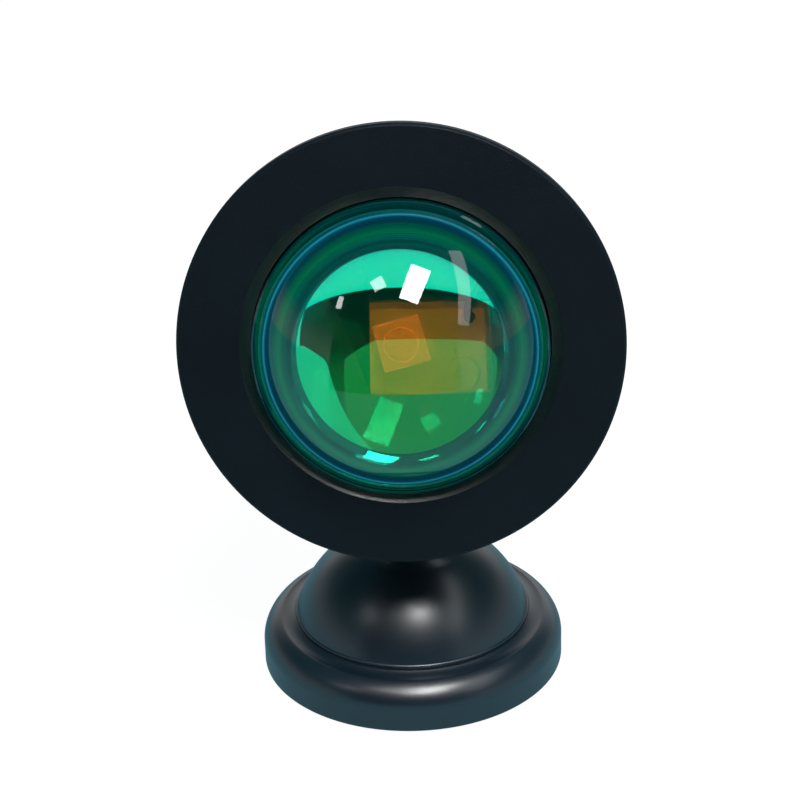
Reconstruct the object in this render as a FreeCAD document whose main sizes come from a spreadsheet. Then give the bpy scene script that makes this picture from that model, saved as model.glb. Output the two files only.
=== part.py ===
import FreeCAD, Part
import math
import os

import Sketcher

# Sunset projection lamp: a round head with a domed lens, carried by a tilting fork on a
# weighted, domed foot. Millimetres. The foot stands on Z = 0, its axis is Z, the lens faces -Y.

doc = FreeCAD.newDocument("sunset_projection_lamp")
sheet = doc.addObject("Spreadsheet::Sheet", "Sizes")
V = FreeCAD.Vector
X_AXIS, Y_AXIS, Z_AXIS = V(1, 0, 0), V(0, 1, 0), V(0, 0, 1)


class Size:
    """A length with its number and the spreadsheet expression that drives it."""

    def __init__(self, value, text):
        self.value = float(value)
        self.text = text

    def join(self, sign, other, value):
        return Size(value, "(%s %s %s)" % (self.text, sign, text_of(other)))

    def __add__(self, other):
        return self.join("+", other, self.value + value_of(other))

    def __sub__(self, other):
        return self.join("-", other, self.value - value_of(other))

    def __mul__(self, other):
        return self.join("*", other, self.value * value_of(other))

    def __truediv__(self, other):
        return self.join("/", other, self.value / value_of(other))

    def __neg__(self):
        return self * -1

    __radd__ = __add__
    __rmul__ = __mul__


def value_of(size):
    return size.value if isinstance(size, Size) else float(size)


def text_of(size):
    return size.text if isinstance(size, Size) else "%.6f" % size


ROWS = []


def size(alias, value, note):
    """Puts one driving dimension in the sheet and hands back its Size."""
    ROWS.append(alias)
    row = len(ROWS)
    sheet.set("A%d" % row, note)
    sheet.set("B%d" % row, "%g" % value)
    sheet.setAlias("B%d" % row, alias)
    return Size(value, "Sizes." + alias)


# --- shared fits -------------------------------------------------------------------------
loose = size("loose_gap", 0.3, "gap between neighbouring curved faces")
running = size("running_gap", 0.05, "radial clearance of a shaft or screw in its hole")

# --- pose and pivot ----------------------------------------------------------------------
rest_tilt = size("rest_tilt", 12.5, "how far the lens looks up in the rest pose, degrees")
pivot_high = size("pivot_high", 31.0, "height of the tilt screw above the table")
pivot_back = size("pivot_back", 25.04, "tilt screw behind the bezel face, along the lens axis")

# --- bezel and lens cell: depths run back from the bezel face ------------------------------
face_radius = size("face_radius", 34.3, "outside of the bezel disc")
rim_depth = size("rim_depth", 2.7, "thickness of the bezel disc")
rim_chamfer = size("rim_chamfer", 0.4, "chamfer on both edges of the disc")
lens_radius = size("lens_radius", 22.65, "outside of the lens rim")
lens_rim = size("lens_rim", 3.0, "thickness of the lens rim")
lens_chamfer = size("lens_chamfer", 0.3, "chamfer on the lens rim")
dome_inset = size("dome_inset", 1.05, "flat shoulder of the lens round its dome")
dome_edge = lens_radius - dome_inset
dome_rise = size("dome_rise", 12.413, "height of the lens dome above its rim")
dome_curve = (dome_edge * dome_edge + dome_rise * dome_rise) / (dome_rise * 2)
mouth_radius = lens_radius + loose
sink_wide = size("sink_wide", 1.75, "width of the conical recess")
sink_radius = mouth_radius + sink_wide
sink_depth = size("sink_depth", 0.9, "depth of the conical recess")
seat_depth = size("seat_depth", 2.6, "front of the ledge behind the lens")
seat_lip = size("seat_lip", 2.15, "how far the ledge reaches under the lens")
seat_bore = lens_radius - seat_lip
seat_back = size("seat_back", 4.0, "back of that ledge")
cell_wall = size("cell_wall", 2.25, "wall of the bezel round the lens")
sleeve_radius = mouth_radius + cell_wall
bore_step = size("bore_step", 0.85, "bores behind the lens, inside its rim")
sleeve_bore = lens_radius - bore_step
sleeve_end = size("sleeve_end", 9.6, "back end of the bezel sleeve")
seal_thick = size("seal_thick", 0.5, "seal between ledge and filter disc")
seal_wide = size("seal_wide", 1.65, "width of the seal")
seal_bore = lens_radius - seal_wide
filter_thick = size("filter_thick", 1.1, "thickness of the coated filter disc")
baffle_wall = size("baffle_wall", 1.2, "wall of the light baffle")

# --- head housing --------------------------------------------------------------------------
housing_wall = size("housing_wall", 1.5, "wall of the housing barrel")
cell_shell = sleeve_radius + housing_wall
cell_back = size("cell_back", 10.8, "where the housing starts to taper")
cell_floor = size("cell_floor", 10.0, "step inside the housing behind the lens cell")
barrel_bore = sleeve_bore
barrel_radius = barrel_bore + housing_wall
barrel_start = size("barrel_start", 14.2, "end of the taper")
barrel_end = size("barrel_end", 50.0, "back end of the housing")
ledge_wide = size("ledge_wide", 4.3, "width of the heat sink's ledge")
ledge_radius = barrel_bore - ledge_wide
ledge_front = size("ledge_front", 28.5, "front of the ledge")
ledge_thick = size("ledge_thick", 2.0, "thickness of the ledge")
lug_wide = size("lug_wide", 5.0, "width of the housing lug along the tilt screw")
knuckle = size("knuckle", 4.0, "radius of lug and fork round the tilt screw")
lug_flare = size("lug_flare", 7.5, "half length of the lug where it meets the barrel")
lug_sunk = size("lug_sunk", 0.7, "how deep the lug root sits in the barrel")
lug_root = barrel_radius - lug_sunk
lug_reach = size("lug_reach", 6.49, "tilt screw below the barrel")
pivot_drop = barrel_radius + lug_reach
vent_count = 14
vent_wide = size("vent_wide", 1.6, "width of a side vent")
vent_front = size("vent_front", 34.5, "front end of the side vents")
vent_long = size("vent_long", 8.0, "length of the side vents")
boss_radius = size("boss_radius", 2.3, "screw boss inside the housing")
boss_inset = size("boss_inset", 2.0, "cap screws inside the barrel's bore")
boss_circle = barrel_bore - boss_inset
boss_front = size("boss_front", 45.6, "front end of the screw bosses")
cap_thick = size("cap_thick", 2.0, "thickness of the rear cap")
cap_chamfer = size("cap_chamfer", 0.6, "chamfer on the rear cap")
cap_vent_wide = size("cap_vent_wide", 1.4, "width of a vent in the rear cap")
cap_vent_long = size("cap_vent_long", 12.0, "length of a vent in the rear cap")
cap_vent_out = size("cap_vent_out", 9.5, "first cap vent from the middle")
cap_vent_pitch = size("cap_vent_pitch", 3.1, "spacing of the cap vents")
set_screw_depth = size("set_screw_depth", 6.2, "depth of the three set screws of the bezel")
set_screw_short = size("set_screw_short", 0.8, "set screw short of the bore")
set_screw_inner = sleeve_bore + set_screw_short
set_screw_sunk = size("set_screw_sunk", 0.15, "set screw below the surface")
set_screw_outer = cell_shell - set_screw_sunk

# --- light engine ---------------------------------------------------------------------------
sink_plate = size("sink_plate", 3.5, "plate of the heat sink")
fin_inset = size("fin_inset", 5.3, "air round the fin block")
fin_radius = barrel_bore - fin_inset
fin_tall = size("fin_tall", 7.0, "height of the fins")
fin_pitch = size("fin_pitch", 5.2, "spacing of the fins")
fin_gap = size("fin_gap", 2.8, "gap between two fins")
post_radius = size("post_radius", 2.6, "screw post in the fin block")
post_out = size("post_out", 10.4, "screw posts from the lens axis")
sink_screw_inset = size("sink_screw_inset", 2.4, "heat sink screws in the bore")
sink_screw_circle = barrel_bore - sink_screw_inset
pad_thick = size("pad_thick", 0.5, "thickness of the thermal pad")
pedestal_front = size("pedestal_front", 6.2, "front end of the heat sink's pedestal")
board_long = size("board_long", 12.8, "length of the light board, its pad and the pedestal")
board_tall = size("board_tall", 9.4, "width of the light board, its pad and the pedestal")
board_aside = size("board_aside", 3.0, "middle of the light board beside the lens axis")
board_down = size("board_down", 1.0, "middle of the light board below the lens axis")
board_thick = size("board_thick", 1.6, "thickness of both circuit boards")
light_screw_aside = size("light_screw_aside", 6.8, "light board screw beside the lens axis")
light_screw_down = size("light_screw_down", 3.4, "light board screw below the lens axis")
package_side = size("package_side", 5.2, "side of the light emitter package")
package_tall = size("package_tall", 0.7, "height of the package")
package_turn = size("package_turn", 15.0, "turn of the package on its board, degrees")
phosphor_radius = size("phosphor_radius", 1.9, "radius of the glowing spot")
phosphor_tall = size("phosphor_tall", 0.2, "height of the glowing spot")
lead_radius = size("lead_radius", 0.5, "radius of a lead")
lead_up = size("lead_up", 4.4, "leads above the lens axis")
lead_bend = size("lead_bend", 0.8, "bend radius of a lead")
lead_rise = size("lead_rise", 0.45, "straight end of a lead above the light board")
spacer_tall = size("spacer_tall", 2.4, "height of the driver board spacers")
spacer_radius = size("spacer_radius", 2.2, "radius of the driver board spacers")
driver_gap = size("driver_gap", 2.3, "air round the driver board")
driver_radius = barrel_bore - driver_gap
coil_radius = size("coil_radius", 3.2, "inductor")
coil_tall = size("coil_tall", 3.6, "inductor height")
can_radius = size("can_radius", 3.0, "capacitor")
can_tall = size("can_tall", 4.4, "capacitor height")
part_side = size("part_side", 9.0, "inductor and capacitor either side of the middle")
part_up = size("part_up", 8.8, "inductor and capacitor above the middle")
chip_wide = size("chip_wide", 5.0, "controller chip width")
chip_deep = size("chip_deep", 4.0, "controller chip depth")
chip_tall = size("chip_tall", 1.2, "controller chip height")
chip_side = size("chip_side", 10.0, "controller chip to the side")
chip_down = size("chip_down", 6.5, "controller chip below the middle")

# --- power socket and button ------------------------------------------------------------------
socket_down = size("socket_down", 10.0, "power socket below the lens axis")
socket_radius = size("socket_radius", 1.63, "end radius of the socket shell")
socket_half = size("socket_half", 2.84, "half distance between the shell's end centres")
socket_wall = size("socket_wall", 0.35, "wall of the socket shell")
socket_long = size("socket_long", 6.7, "length of the socket shell")
socket_back = size("socket_back", 0.8, "thickness of the shell's closed end")
tongue_wide = size("tongue_wide", 6.7, "tongue width")
tongue_thick = size("tongue_thick", 0.7, "tongue thickness")
tongue_long = size("tongue_long", 4.6, "tongue length")
button_up = size("button_up", 8.0, "button above the lens axis")
button_radius = size("button_radius", 4.0, "button")
button_flange = size("button_flange", 5.0, "flange that keeps the button in")
button_flange_thick = size("button_flange_thick", 0.8, "thickness of that flange")
button_proud = size("button_proud", 1.1, "how far the button stands out of the cap")
button_dish = size("button_dish", 0.35, "hollow in the button face")
switch_side = size("switch_side", 6.0, "switch body side")
switch_tall = size("switch_tall", 3.0, "switch body height")
plunger_radius = size("plunger_radius", 1.7, "switch plunger")
plunger_long = size("plunger_long", 1.8, "length of the plunger")
plunger_room = size("plunger_room", 1.8, "depth of the plunger's hole")

# --- screws -----------------------------------------------------------------------------------
small_shank = size("small_shank", 1.0, "M2 shank radius")
small_head = size("small_head", 1.9, "M2 head radius")
small_head_tall = size("small_head_tall", 1.1, "M2 head height")
small_key = size("small_key", 0.85, "M2 socket, centre to corner")
set_key = size("set_key", 0.6, "set screw socket, centre to corner")
foot_shank = size("foot_shank", 1.25, "foot screw shank radius")
foot_head = size("foot_head", 2.2, "foot screw head radius")
foot_head_tall = size("foot_head_tall", 0.7, "foot screw head height")
big_shank = size("big_shank", 1.5, "M3 shank radius")
big_head = size("big_head", 2.8, "M3 head radius")
big_head_tall = size("big_head_tall", 2.0, "M3 head height")
big_key = size("big_key", 1.4, "M3 socket, centre to corner")
big_nut = size("big_nut", 3.1, "M3 nut, centre to corner")
big_nut_tall = size("big_nut_tall", 2.4, "M3 nut height")

# --- fork and swivel ----------------------------------------------------------------------------
washer_thick = size("washer_thick", 0.5, "friction washer beside the lug")
washer_radius = size("washer_radius", 3.7, "friction washer")
ear_thick = size("ear_thick", 3.0, "fork ear")
fork_floor = size("fork_floor", 4.5, "bottom of the fork slot below the tilt screw")
fork_half = size("fork_half", 4.0, "half depth of the fork where it meets its collar")
collar_radius = size("collar_radius", 7.0, "collar of the fork and thrust washer")
collar_thick = size("collar_thick", 1.6, "collar")
thrust_thick = size("thrust_thick", 0.8, "thrust washer under the collar")
stud_radius = size("stud_radius", 3.0, "stud of the fork")
stud_end = size("stud_end", 12.2, "height of the stud's lower end")
spring_radius = size("spring_radius", 5.4, "spring washer")
spring_thick = size("spring_thick", 1.2, "spring washer")
swivel_nut_corner = size("swivel_nut_corner", 5.8, "swivel nut, centre to corner")
swivel_nut_tall = size("swivel_nut_tall", 3.6, "swivel nut height")

# --- foot ------------------------------------------------------------------------------------------
foot_radius = size("foot_radius", 25.0, "outside of the foot ring")
foot_clear = size("foot_clear", 0.3, "ring above the table")
wall_top = size("wall_top", 4.1, "top of the ring's upright wall")
shoulder_curve = size("shoulder_curve", 4.66, "curve of the ring's shoulder")
shoulder_wide = size("shoulder_wide", 5.25, "width of the shoulder")
shoulder_radius = foot_radius - shoulder_wide
shoulder_top = size("shoulder_top", 8.7, "ledge that the dome sits on")
dome_ledge = size("dome_ledge", 2.15, "width of the dome's ledge")
ring_inner = shoulder_radius - dome_ledge
ring_wall = size("ring_wall", 2.1, "wall round the base plate")
pocket_radius = foot_radius - ring_wall
pad_high = size("pad_high", 1.2, "thickness of the rubber pad")
pad_inset = size("pad_inset", 1.1, "rubber pad inside the ring")
pad_radius = pocket_radius - pad_inset
plate_thick = size("plate_thick", 1.2, "base plate")
dome_radius = size("dome_radius", 20.2, "radius of the dome's sphere")
dome_flat = size("dome_flat", 22.15, "height of the flat on top of the dome")
lip_radius = shoulder_radius - loose
flare_radius = size("flare_radius", 9.7, "where the dome turns up to the neck")
flare_low = size("flare_low", 20.9, "height of that turn")
flare_top = size("flare_top", 8.5, "radius of the flat for the neck")
flare_curve = size("flare_curve", 1.5, "hollow curve between them")
lip_set = size("lip_set", 0.2, "dome starts this far inside its lip")
lip_top = size("lip_top", 9.3, "top of the lip")
dome_inner = size("dome_inner", 18.2, "radius of the hollow in the dome")
spigot_wall = size("spigot_wall", 1.4, "wall of the dome's spigot")
spigot_low = size("spigot_low", 6.4, "lower end of the spigot")
spigot_meet = size("spigot_meet", 12.06, "height where spigot bore meets the hollow")
hub_radius = size("hub_radius", 9.0, "hub under the top of the dome")
hub_meet = size("hub_meet", 19.02, "height where hub meets the hollow")
hub_low = size("hub_low", 17.5, "underside of the hub")
stem_radius = size("stem_radius", 2.4, "screw stems inside the dome")
stem_top = size("stem_top", 15.5, "top of the screw stems")
stem_bore = size("stem_bore", 8.0, "depth of the holes in the stems")
weight_gap = size("weight_gap", 0.7, "weight short of the spigot")
weight_radius = ring_inner - spigot_wall - weight_gap
stem_inset = size("stem_inset", 2.9, "foot screws inside the weight's edge")
stem_circle = weight_radius - stem_inset
weight_top = size("weight_top", 11.0, "top of the weight")
weight_bore = size("weight_bore", 6.0, "depth of the hole in the weight")

doc.recompute()


# --- making shapes -----------------------------------------------------------------------------------
def bind(thing, prop, value):
    """Sets a property and ties it to the sheet."""
    setattr(thing, prop, value_of(value))
    if isinstance(value, Size):
        thing.setExpression(prop, value.text)


def put(thing, x=0, y=0, z=0, turn=None):
    """Places a shape and ties its position to the sheet."""
    place = FreeCAD.Placement(V(value_of(x), value_of(y), value_of(z)), turn or FreeCAD.Rotation())
    thing.Placement = place
    for axis, value in (("x", x), ("y", y), ("z", z)):
        if isinstance(value, Size):
            thing.setExpression("Placement.Base." + axis, value.text)
    return thing


def cylinder(radius, length, x=0, y=0, z=0, turn=None):
    shape = doc.addObject("Part::Cylinder", "round_bar")
    bind(shape, "Radius", radius)
    bind(shape, "Height", length)
    return put(shape, x, y, z, turn)


def block(wide, deep, tall, x=0, y=0, z=0):
    """A box centred on x and y that stands on z."""
    shape = doc.addObject("Part::Box", "block")
    bind(shape, "Length", wide)
    bind(shape, "Width", deep)
    bind(shape, "Height", tall)
    return put(shape, wide * -0.5 + x, deep * -0.5 + y, z)


def hexagon(corner, tall, x=0, y=0, z=0, turn=None):
    shape = doc.addObject("Part::Prism", "hexagon")
    shape.Polygon = 6
    bind(shape, "Circumradius", corner)
    bind(shape, "Height", tall)
    return put(shape, x, y, z, turn)


def joined(shapes, name="joined"):
    shape = doc.addObject("Part::MultiFuse", name)
    shape.Shapes = shapes
    return shape


def together(shapes, name="together"):
    """A group of separate solids."""
    shape = doc.addObject("Part::Compound", name)
    shape.Links = shapes
    return shape


def cut(base, tools, name="cut"):
    shape = doc.addObject("Part::Cut", name)
    shape.Base = base
    shape.Tool = tools[0] if len(tools) == 1 else together(tools)
    return shape


def stadium(radius, half, tall, x=0, y=0, z=0):
    """A bar with two round ends, centred on x and y."""
    ends = [cylinder(radius, tall, half * side + x, y, z) for side in (-1, 1)]
    return joined(ends + [block(half * 2, radius * 2, tall, x, y, z)])


def sketch(body, plane, corners, name):
    """A closed outline. A corner is (x, y), or (x, y, radius, side) when an arc leads to it;
    side is 1 where the arc's centre lies to the left of the way along it, and -1 to the right."""
    drawing = body.newObject("Sketcher::SketchObject", name)
    origin = [face for face in body.Origin.OriginFeatures if face.Role == plane][0]
    drawing.AttachmentSupport = (origin, [""])
    drawing.MapMode = "FlatFace"
    points = [V(value_of(corner[0]), value_of(corner[1]), 0) for corner in corners]
    ends = []
    for index, start in enumerate(points):
        arrival = corners[(index + 1) % len(corners)]
        finish = points[(index + 1) % len(points)]
        if len(arrival) == 2:
            number = drawing.addGeometry(Part.LineSegment(start, finish), False)
            ends.append((number, 1, 2))
            continue
        radius, side = arrival[2], arrival[3]
        chord = finish - start
        reach = math.sqrt(max(radius.value ** 2 - chord.Length ** 2 / 4.0, 0.0))
        centre = (start + finish) * 0.5 + V(-chord.y, chord.x, 0).normalize() * reach * side
        first, last = (start, finish) if side > 0 else (finish, start)
        angles = [math.atan2(p.y - centre.y, p.x - centre.x) for p in (first, last)]
        circle = Part.Circle(centre, Z_AXIS, radius.value)
        number = drawing.addGeometry(Part.ArcOfCircle(circle, angles[0], angles[1]), False)
        ends.append((number, 1, 2) if side > 0 else (number, 2, 1))
        mark = drawing.addConstraint(Sketcher.Constraint("Radius", number, radius.value))
        drawing.setExpression("Constraints[%d]" % mark, radius.text)
    for index, (number, begin, _) in enumerate(ends):
        before, _, finish = ends[index - 1]
        drawing.addConstraint(Sketcher.Constraint("Coincident", before, finish, number, begin))
        for kind, value, axis in zip(("DistanceX", "DistanceY"), corners[index], (-2, -1)):
            if value_of(value) == 0:
                drawing.addConstraint(Sketcher.Constraint("PointOnObject", number, begin, axis))
                continue
            rule = Sketcher.Constraint(kind, -1, 1, number, begin, value_of(value))
            mark = drawing.addConstraint(rule)
            drawing.setExpression("Constraints[%d]" % mark, text_of(value))
    return drawing


def turned(corners, name="turned"):
    """A solid of revolution about Z from an outline of (radius, height) corners."""
    body = doc.addObject("PartDesign::Body", name)
    outline = sketch(body, "XZ_Plane", corners, name + "_outline")
    spin = body.newObject("PartDesign::Revolution", name + "_spin")
    spin.Profile = outline
    spin.ReferenceAxis = (outline, ["V_Axis"])
    spin.Angle = 360
    return body


def slab(corners, wide, name):
    """A plate whose outline is drawn in Y and Z, half of its width each side of X = 0."""
    body = doc.addObject("PartDesign::Body", name)
    outline = sketch(body, "YZ_Plane", corners, name + "_outline")
    pad = body.newObject("PartDesign::Pad", name + "_pad")
    pad.Profile = outline
    pad.SideType = "Symmetric"
    bind(pad, "Length", wide)
    return body


def tube(outer, inner, length, z, name):
    top = length + z
    return turned([(inner, z), (outer, z), (outer, top), (inner, top)], name)


def disc(radius, length, z, name):
    return tube(radius, 0, length, z, name)


def screw(shank, long, head, head_tall, key, x, y, z, turn=None):
    """A socket screw: its head stands on z and its shank runs the other way, down to z - long."""
    turn = turn or FreeCAD.Rotation()
    stalk = cylinder(shank, long + head_tall * 0.5, 0, 0, -long)
    cap = cylinder(head, head_tall)
    socket = hexagon(key, head_tall * 0.6, 0, 0, head_tall * 0.4)
    return put(cut(joined([stalk, cap]), [socket]), x, y, z, turn)


def round_the_axis(count, start, radius):
    """Places on a circle: (x, y, angle) for each."""
    for step in range(count):
        angle = start + 360.0 * step / count
        turn = math.radians(angle)
        yield radius * math.cos(turn), radius * math.sin(turn), angle


BITE = 0.8  # how much of a threaded hole its screw fills
DISH_SHARE = 0.7  # how much of the button face is hollow
PARTS = {}
UPSIDE_DOWN = FreeCAD.Rotation(X_AXIS, 180)


def keep(shape, name, place=None):
    """Names a finished part and gives it its place."""
    if place is not None:
        shape.Placement = place
    shape.Label = name
    PARTS[name] = shape
    return shape


# The head is drawn about the lens axis: Z runs back from the bezel face and Y is up.
tilt = math.radians(rest_tilt.value)
face_y = pivot_drop.value * math.sin(tilt) - pivot_back.value * math.cos(tilt)
face_z = pivot_high.value + pivot_back.value * math.sin(tilt) + pivot_drop.value * math.cos(tilt)
head_turn = FreeCAD.Rotation(V(-1, 0, 0), V(0, math.sin(tilt), math.cos(tilt)),
                             V(0, math.cos(tilt), -math.sin(tilt)), "ZYX")
HEAD = FreeCAD.Placement(V(0, face_y, face_z), head_turn)

# --- bezel and lens cell --------------------------------------------------------------------------
bezel_blank = turned([
    (face_radius - rim_chamfer, 0), (face_radius, rim_chamfer),
    (face_radius, rim_depth - rim_chamfer), (face_radius - rim_chamfer, rim_depth),
    (sleeve_radius, rim_depth), (sleeve_radius, sleeve_end), (sleeve_bore, sleeve_end),
    (sleeve_bore, seat_back), (seat_bore, seat_back), (seat_bore, seat_depth),
    (mouth_radius, seat_depth), (mouth_radius, sink_depth), (sink_radius, 0)], "bezel_blank")


def radial_bars(make, radius, inner, outer):
    """Three bars that point at the lens axis, at the depth of the set screws."""
    bars = []
    for x, y, angle in round_the_axis(3, 30, inner):
        way = V(math.cos(math.radians(angle)), math.sin(math.radians(angle)), 0)
        turn = FreeCAD.Rotation(Z_AXIS, way)
        bars.append(make(radius, outer - inner, x, y, set_screw_depth, turn))
    return bars


screw_hole = small_shank + running
keep(cut(bezel_blank, radial_bars(cylinder, screw_hole, seat_bore, cell_shell)),
     "front_bezel", HEAD)

filter_back = seat_depth - seal_thick
lens_back = filter_back - filter_thick
lens_shoulder = lens_back - lens_rim
keep(tube(lens_radius, seal_bore, seal_thick, filter_back, "seal_ring"), "lens_seal", HEAD)
keep(disc(lens_radius, filter_thick, lens_back, "filter_solid"), "filter_disc", HEAD)
keep(turned([
    (0, lens_back), (0, lens_shoulder - dome_rise), (dome_edge, lens_shoulder, dome_curve, 1),
    (lens_radius - lens_chamfer, lens_shoulder), (lens_radius, lens_shoulder + lens_chamfer),
    (lens_radius, lens_back)], "lens_solid"), "projection_lens", HEAD)
baffle_outer = barrel_bore - loose
keep(tube(baffle_outer, baffle_outer - baffle_wall, ledge_front - seat_back, seat_back, "baffle"),
     "light_baffle", HEAD)

# --- housing --------------------------------------------------------------------------------------
ledge_back = ledge_front + ledge_thick
housing_blank = turned([
    (sleeve_radius + loose, rim_depth), (cell_shell, rim_depth), (cell_shell, cell_back),
    (barrel_radius, barrel_start), (barrel_radius, barrel_end), (barrel_bore, barrel_end),
    (barrel_bore, ledge_back), (ledge_radius, ledge_back), (ledge_radius, ledge_front),
    (barrel_bore, ledge_front), (barrel_bore, cell_floor), (sleeve_radius + loose, cell_floor)],
    "housing_blank")
lug = slab([
    (-lug_root, pivot_back - lug_flare), (-lug_root, pivot_back + lug_flare),
    (-pivot_drop, pivot_back + knuckle), (-pivot_drop - knuckle, pivot_back, knuckle, 1),
    (-pivot_drop, pivot_back - knuckle, knuckle, 1)], lug_wide, "lug")
bosses = [cylinder(boss_radius, barrel_end - boss_front, x, y, boss_front)
          for x, y, _ in round_the_axis(3, 90, boss_circle)]
vents = []
for _, _, angle in round_the_axis(vent_count, 0, barrel_bore):
    vent = together([block(boss_radius * 3, vent_wide, vent_long, barrel_bore, 0, vent_front)])
    vent.Placement = FreeCAD.Placement(V(0, 0, 0), FreeCAD.Rotation(Z_AXIS, angle))
    vents.append(vent)
cap_holes = [cylinder(screw_hole, barrel_end - boss_front, x, y, boss_front + loose)
             for x, y, _ in round_the_axis(3, 90, boss_circle)]
ledge_holes = [cylinder(screw_hole, ledge_thick, x, y, ledge_front)
               for x, y, _ in round_the_axis(3, 30, sink_screw_circle)]
along_x = FreeCAD.Rotation(Y_AXIS, 90)
tilt_hole = cylinder(big_shank + running, lug_wide, lug_wide * -0.5, -pivot_drop, pivot_back, along_x)
keep(cut(joined([housing_blank, lug] + bosses),
         vents + cap_holes + ledge_holes + [tilt_hole]
         + radial_bars(cylinder, screw_hole, sleeve_bore, cell_shell + loose)), "head_housing", HEAD)
set_bars = radial_bars(cylinder, small_shank, set_screw_inner, set_screw_outer)
set_keys = radial_bars(hexagon, set_key, set_screw_outer - small_head_tall, set_screw_outer)
keep(together([cut(bar, [key]) for bar, key in zip(set_bars, set_keys)]),
     "bezel_set_screws", HEAD)


# --- light engine ---------------------------------------------------------------------------------
def pair(out):
    """The two places either side of the middle."""
    return [out * side for side in (-1, 1)]


plate_back = ledge_back + sink_plate
fins_end = plate_back + fin_tall
plate = disc(barrel_bore - loose, sink_plate, ledge_back, "sink_plate_blank")
fins = disc(fin_radius, fin_tall, plate_back, "fin_blank")
gaps = [block(fin_gap, fin_radius * 2 + 1, fin_tall, fin_pitch * (step + 0.5), 0, plate_back)
        for step in range(-3, 3)]
posts = [cylinder(post_radius, fin_tall, x, 0, plate_back) for x in pair(post_out)]
light_front = pedestal_front - pad_thick - board_thick
light_reach = pedestal_front + sink_plate * BITE
lead_sides = [fin_pitch * share for share in (-1.5, -2.5)]


def on_board(tall, z):
    """A block with the outline of the light board."""
    return block(board_long, board_tall, tall, board_aside * -1, board_down * -1, z)


def board_bar(radius, tall, z):
    """A cylinder where the light board's screw is."""
    return cylinder(radius, tall, light_screw_aside * -1, light_screw_down * -1, z)


driver_front = fins_end + spacer_tall
driver_back = driver_front + board_thick
sink_holes = [cylinder(screw_hole, sink_plate, x, y, ledge_back)
              for x, y, _ in round_the_axis(3, 30, sink_screw_circle)]
lead_holes = [cylinder(lead_radius + loose, sink_plate, x, lead_up, ledge_back)
              for x in lead_sides]
light_holes = [board_bar(screw_hole, light_reach - pedestal_front, pedestal_front)]
pedestal = on_board(ledge_back - pedestal_front + sink_plate * 0.5, pedestal_front)
post_holes = [cylinder(screw_hole, fin_tall * 0.5, x, 0, fins_end - fin_tall * 0.5)
              for x in pair(post_out)]
finned = cut(joined([plate, fins]), gaps)
keep(cut(joined([finned, pedestal] + posts), sink_holes + lead_holes + light_holes + post_holes),
     "heat_sink", HEAD)
keep(together([screw(small_shank, sink_plate + ledge_thick * BITE, small_head, small_head_tall,
                     small_key, x, y, plate_back)
               for x, y, _ in round_the_axis(3, 30, sink_screw_circle)]),
     "heat_sink_screws", HEAD)

for tall, z, name in ((pad_thick, pedestal_front - pad_thick, "thermal_pad"),
                      (board_thick, light_front, "led_board")):
    keep(cut(on_board(tall, z), [board_bar(screw_hole, tall, z)]), name, HEAD)
keep(together([screw(small_shank, light_reach - light_front - loose, small_head,
                     small_head_tall, small_key, light_screw_aside * -1, light_screw_down * -1,
                     light_front, UPSIDE_DOWN)]),
     "led_board_screw", HEAD)
package_place = FreeCAD.Placement(V(0, 0, 0), FreeCAD.Rotation(Z_AXIS, -package_turn.value))
keep(together([block(package_side, package_side, package_tall, 0, 0, light_front - package_tall)]),
     "led_package", HEAD.multiply(package_place))
keep(disc(phosphor_radius, phosphor_tall, light_front - package_tall - phosphor_tall, "spot"),
     "led_phosphor", HEAD)

hook = FreeCAD.Rotation(V(0, 1, 0), V(0, 0, -1), V(-1, 0, 0), "ZYX")
lead_top = light_front - lead_rise
for x, name in zip(lead_sides, ("led_lead_red", "led_lead_black")):
    bend = doc.addObject("Part::Torus", "lead_curve")
    bind(bend, "Radius1", lead_bend)
    bind(bend, "Radius2", lead_radius)
    bend.Angle3 = 180
    put(bend, x, lead_up - lead_bend, lead_top, hook)
    long_run = cylinder(lead_radius, driver_front - lead_top, x, lead_up, lead_top)
    short_run = cylinder(lead_radius, lead_rise, x, lead_up - lead_bend * 2, lead_top)
    keep(joined([long_run, bend, short_run]), name, HEAD)

keep(cut(disc(driver_radius, board_thick, driver_front, "driver_blank"),
         [cylinder(screw_hole, board_thick, x, 0, driver_front) for x in pair(post_out)]),
     "driver_board", HEAD)
keep(together([cut(cylinder(spacer_radius, spacer_tall, x, 0, fins_end),
                   [cylinder(screw_hole, spacer_tall, x, 0, fins_end)]) for x in pair(post_out)]),
     "board_spacers", HEAD)
keep(together([screw(small_shank, board_thick + spacer_tall + fin_tall * 0.4, small_head,
                     small_head_tall, small_key, x, 0, driver_back) for x in pair(post_out)]),
     "driver_screws", HEAD)


def on_driver(x, y):
    """The place of a component that stands on the driver board."""
    return HEAD.multiply(FreeCAD.Placement(V(value_of(x), value_of(y), 0), FreeCAD.Rotation()))


flange = coil_tall * 0.17
keep(turned([
    (0, driver_back), (coil_radius, driver_back), (coil_radius, driver_back + flange),
    (coil_radius - loose * 1.5, driver_back + flange),
    (coil_radius - loose * 1.5, driver_back + coil_tall - flange),
    (coil_radius, driver_back + coil_tall - flange), (coil_radius, driver_back + coil_tall),
    (0, driver_back + coil_tall)], "coil"), "inductor", on_driver(-part_side, part_up))
keep(turned([
    (0, driver_back), (can_radius, driver_back), (can_radius, driver_back + can_tall - loose),
    (can_radius - loose, driver_back + can_tall), (0, driver_back + can_tall)], "can"),
    "capacitor", on_driver(part_side, part_up))
keep(together([block(chip_wide, chip_deep, chip_tall, 0, 0, driver_back)]), "controller_chip",
     on_driver(chip_side, -chip_down))

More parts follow.
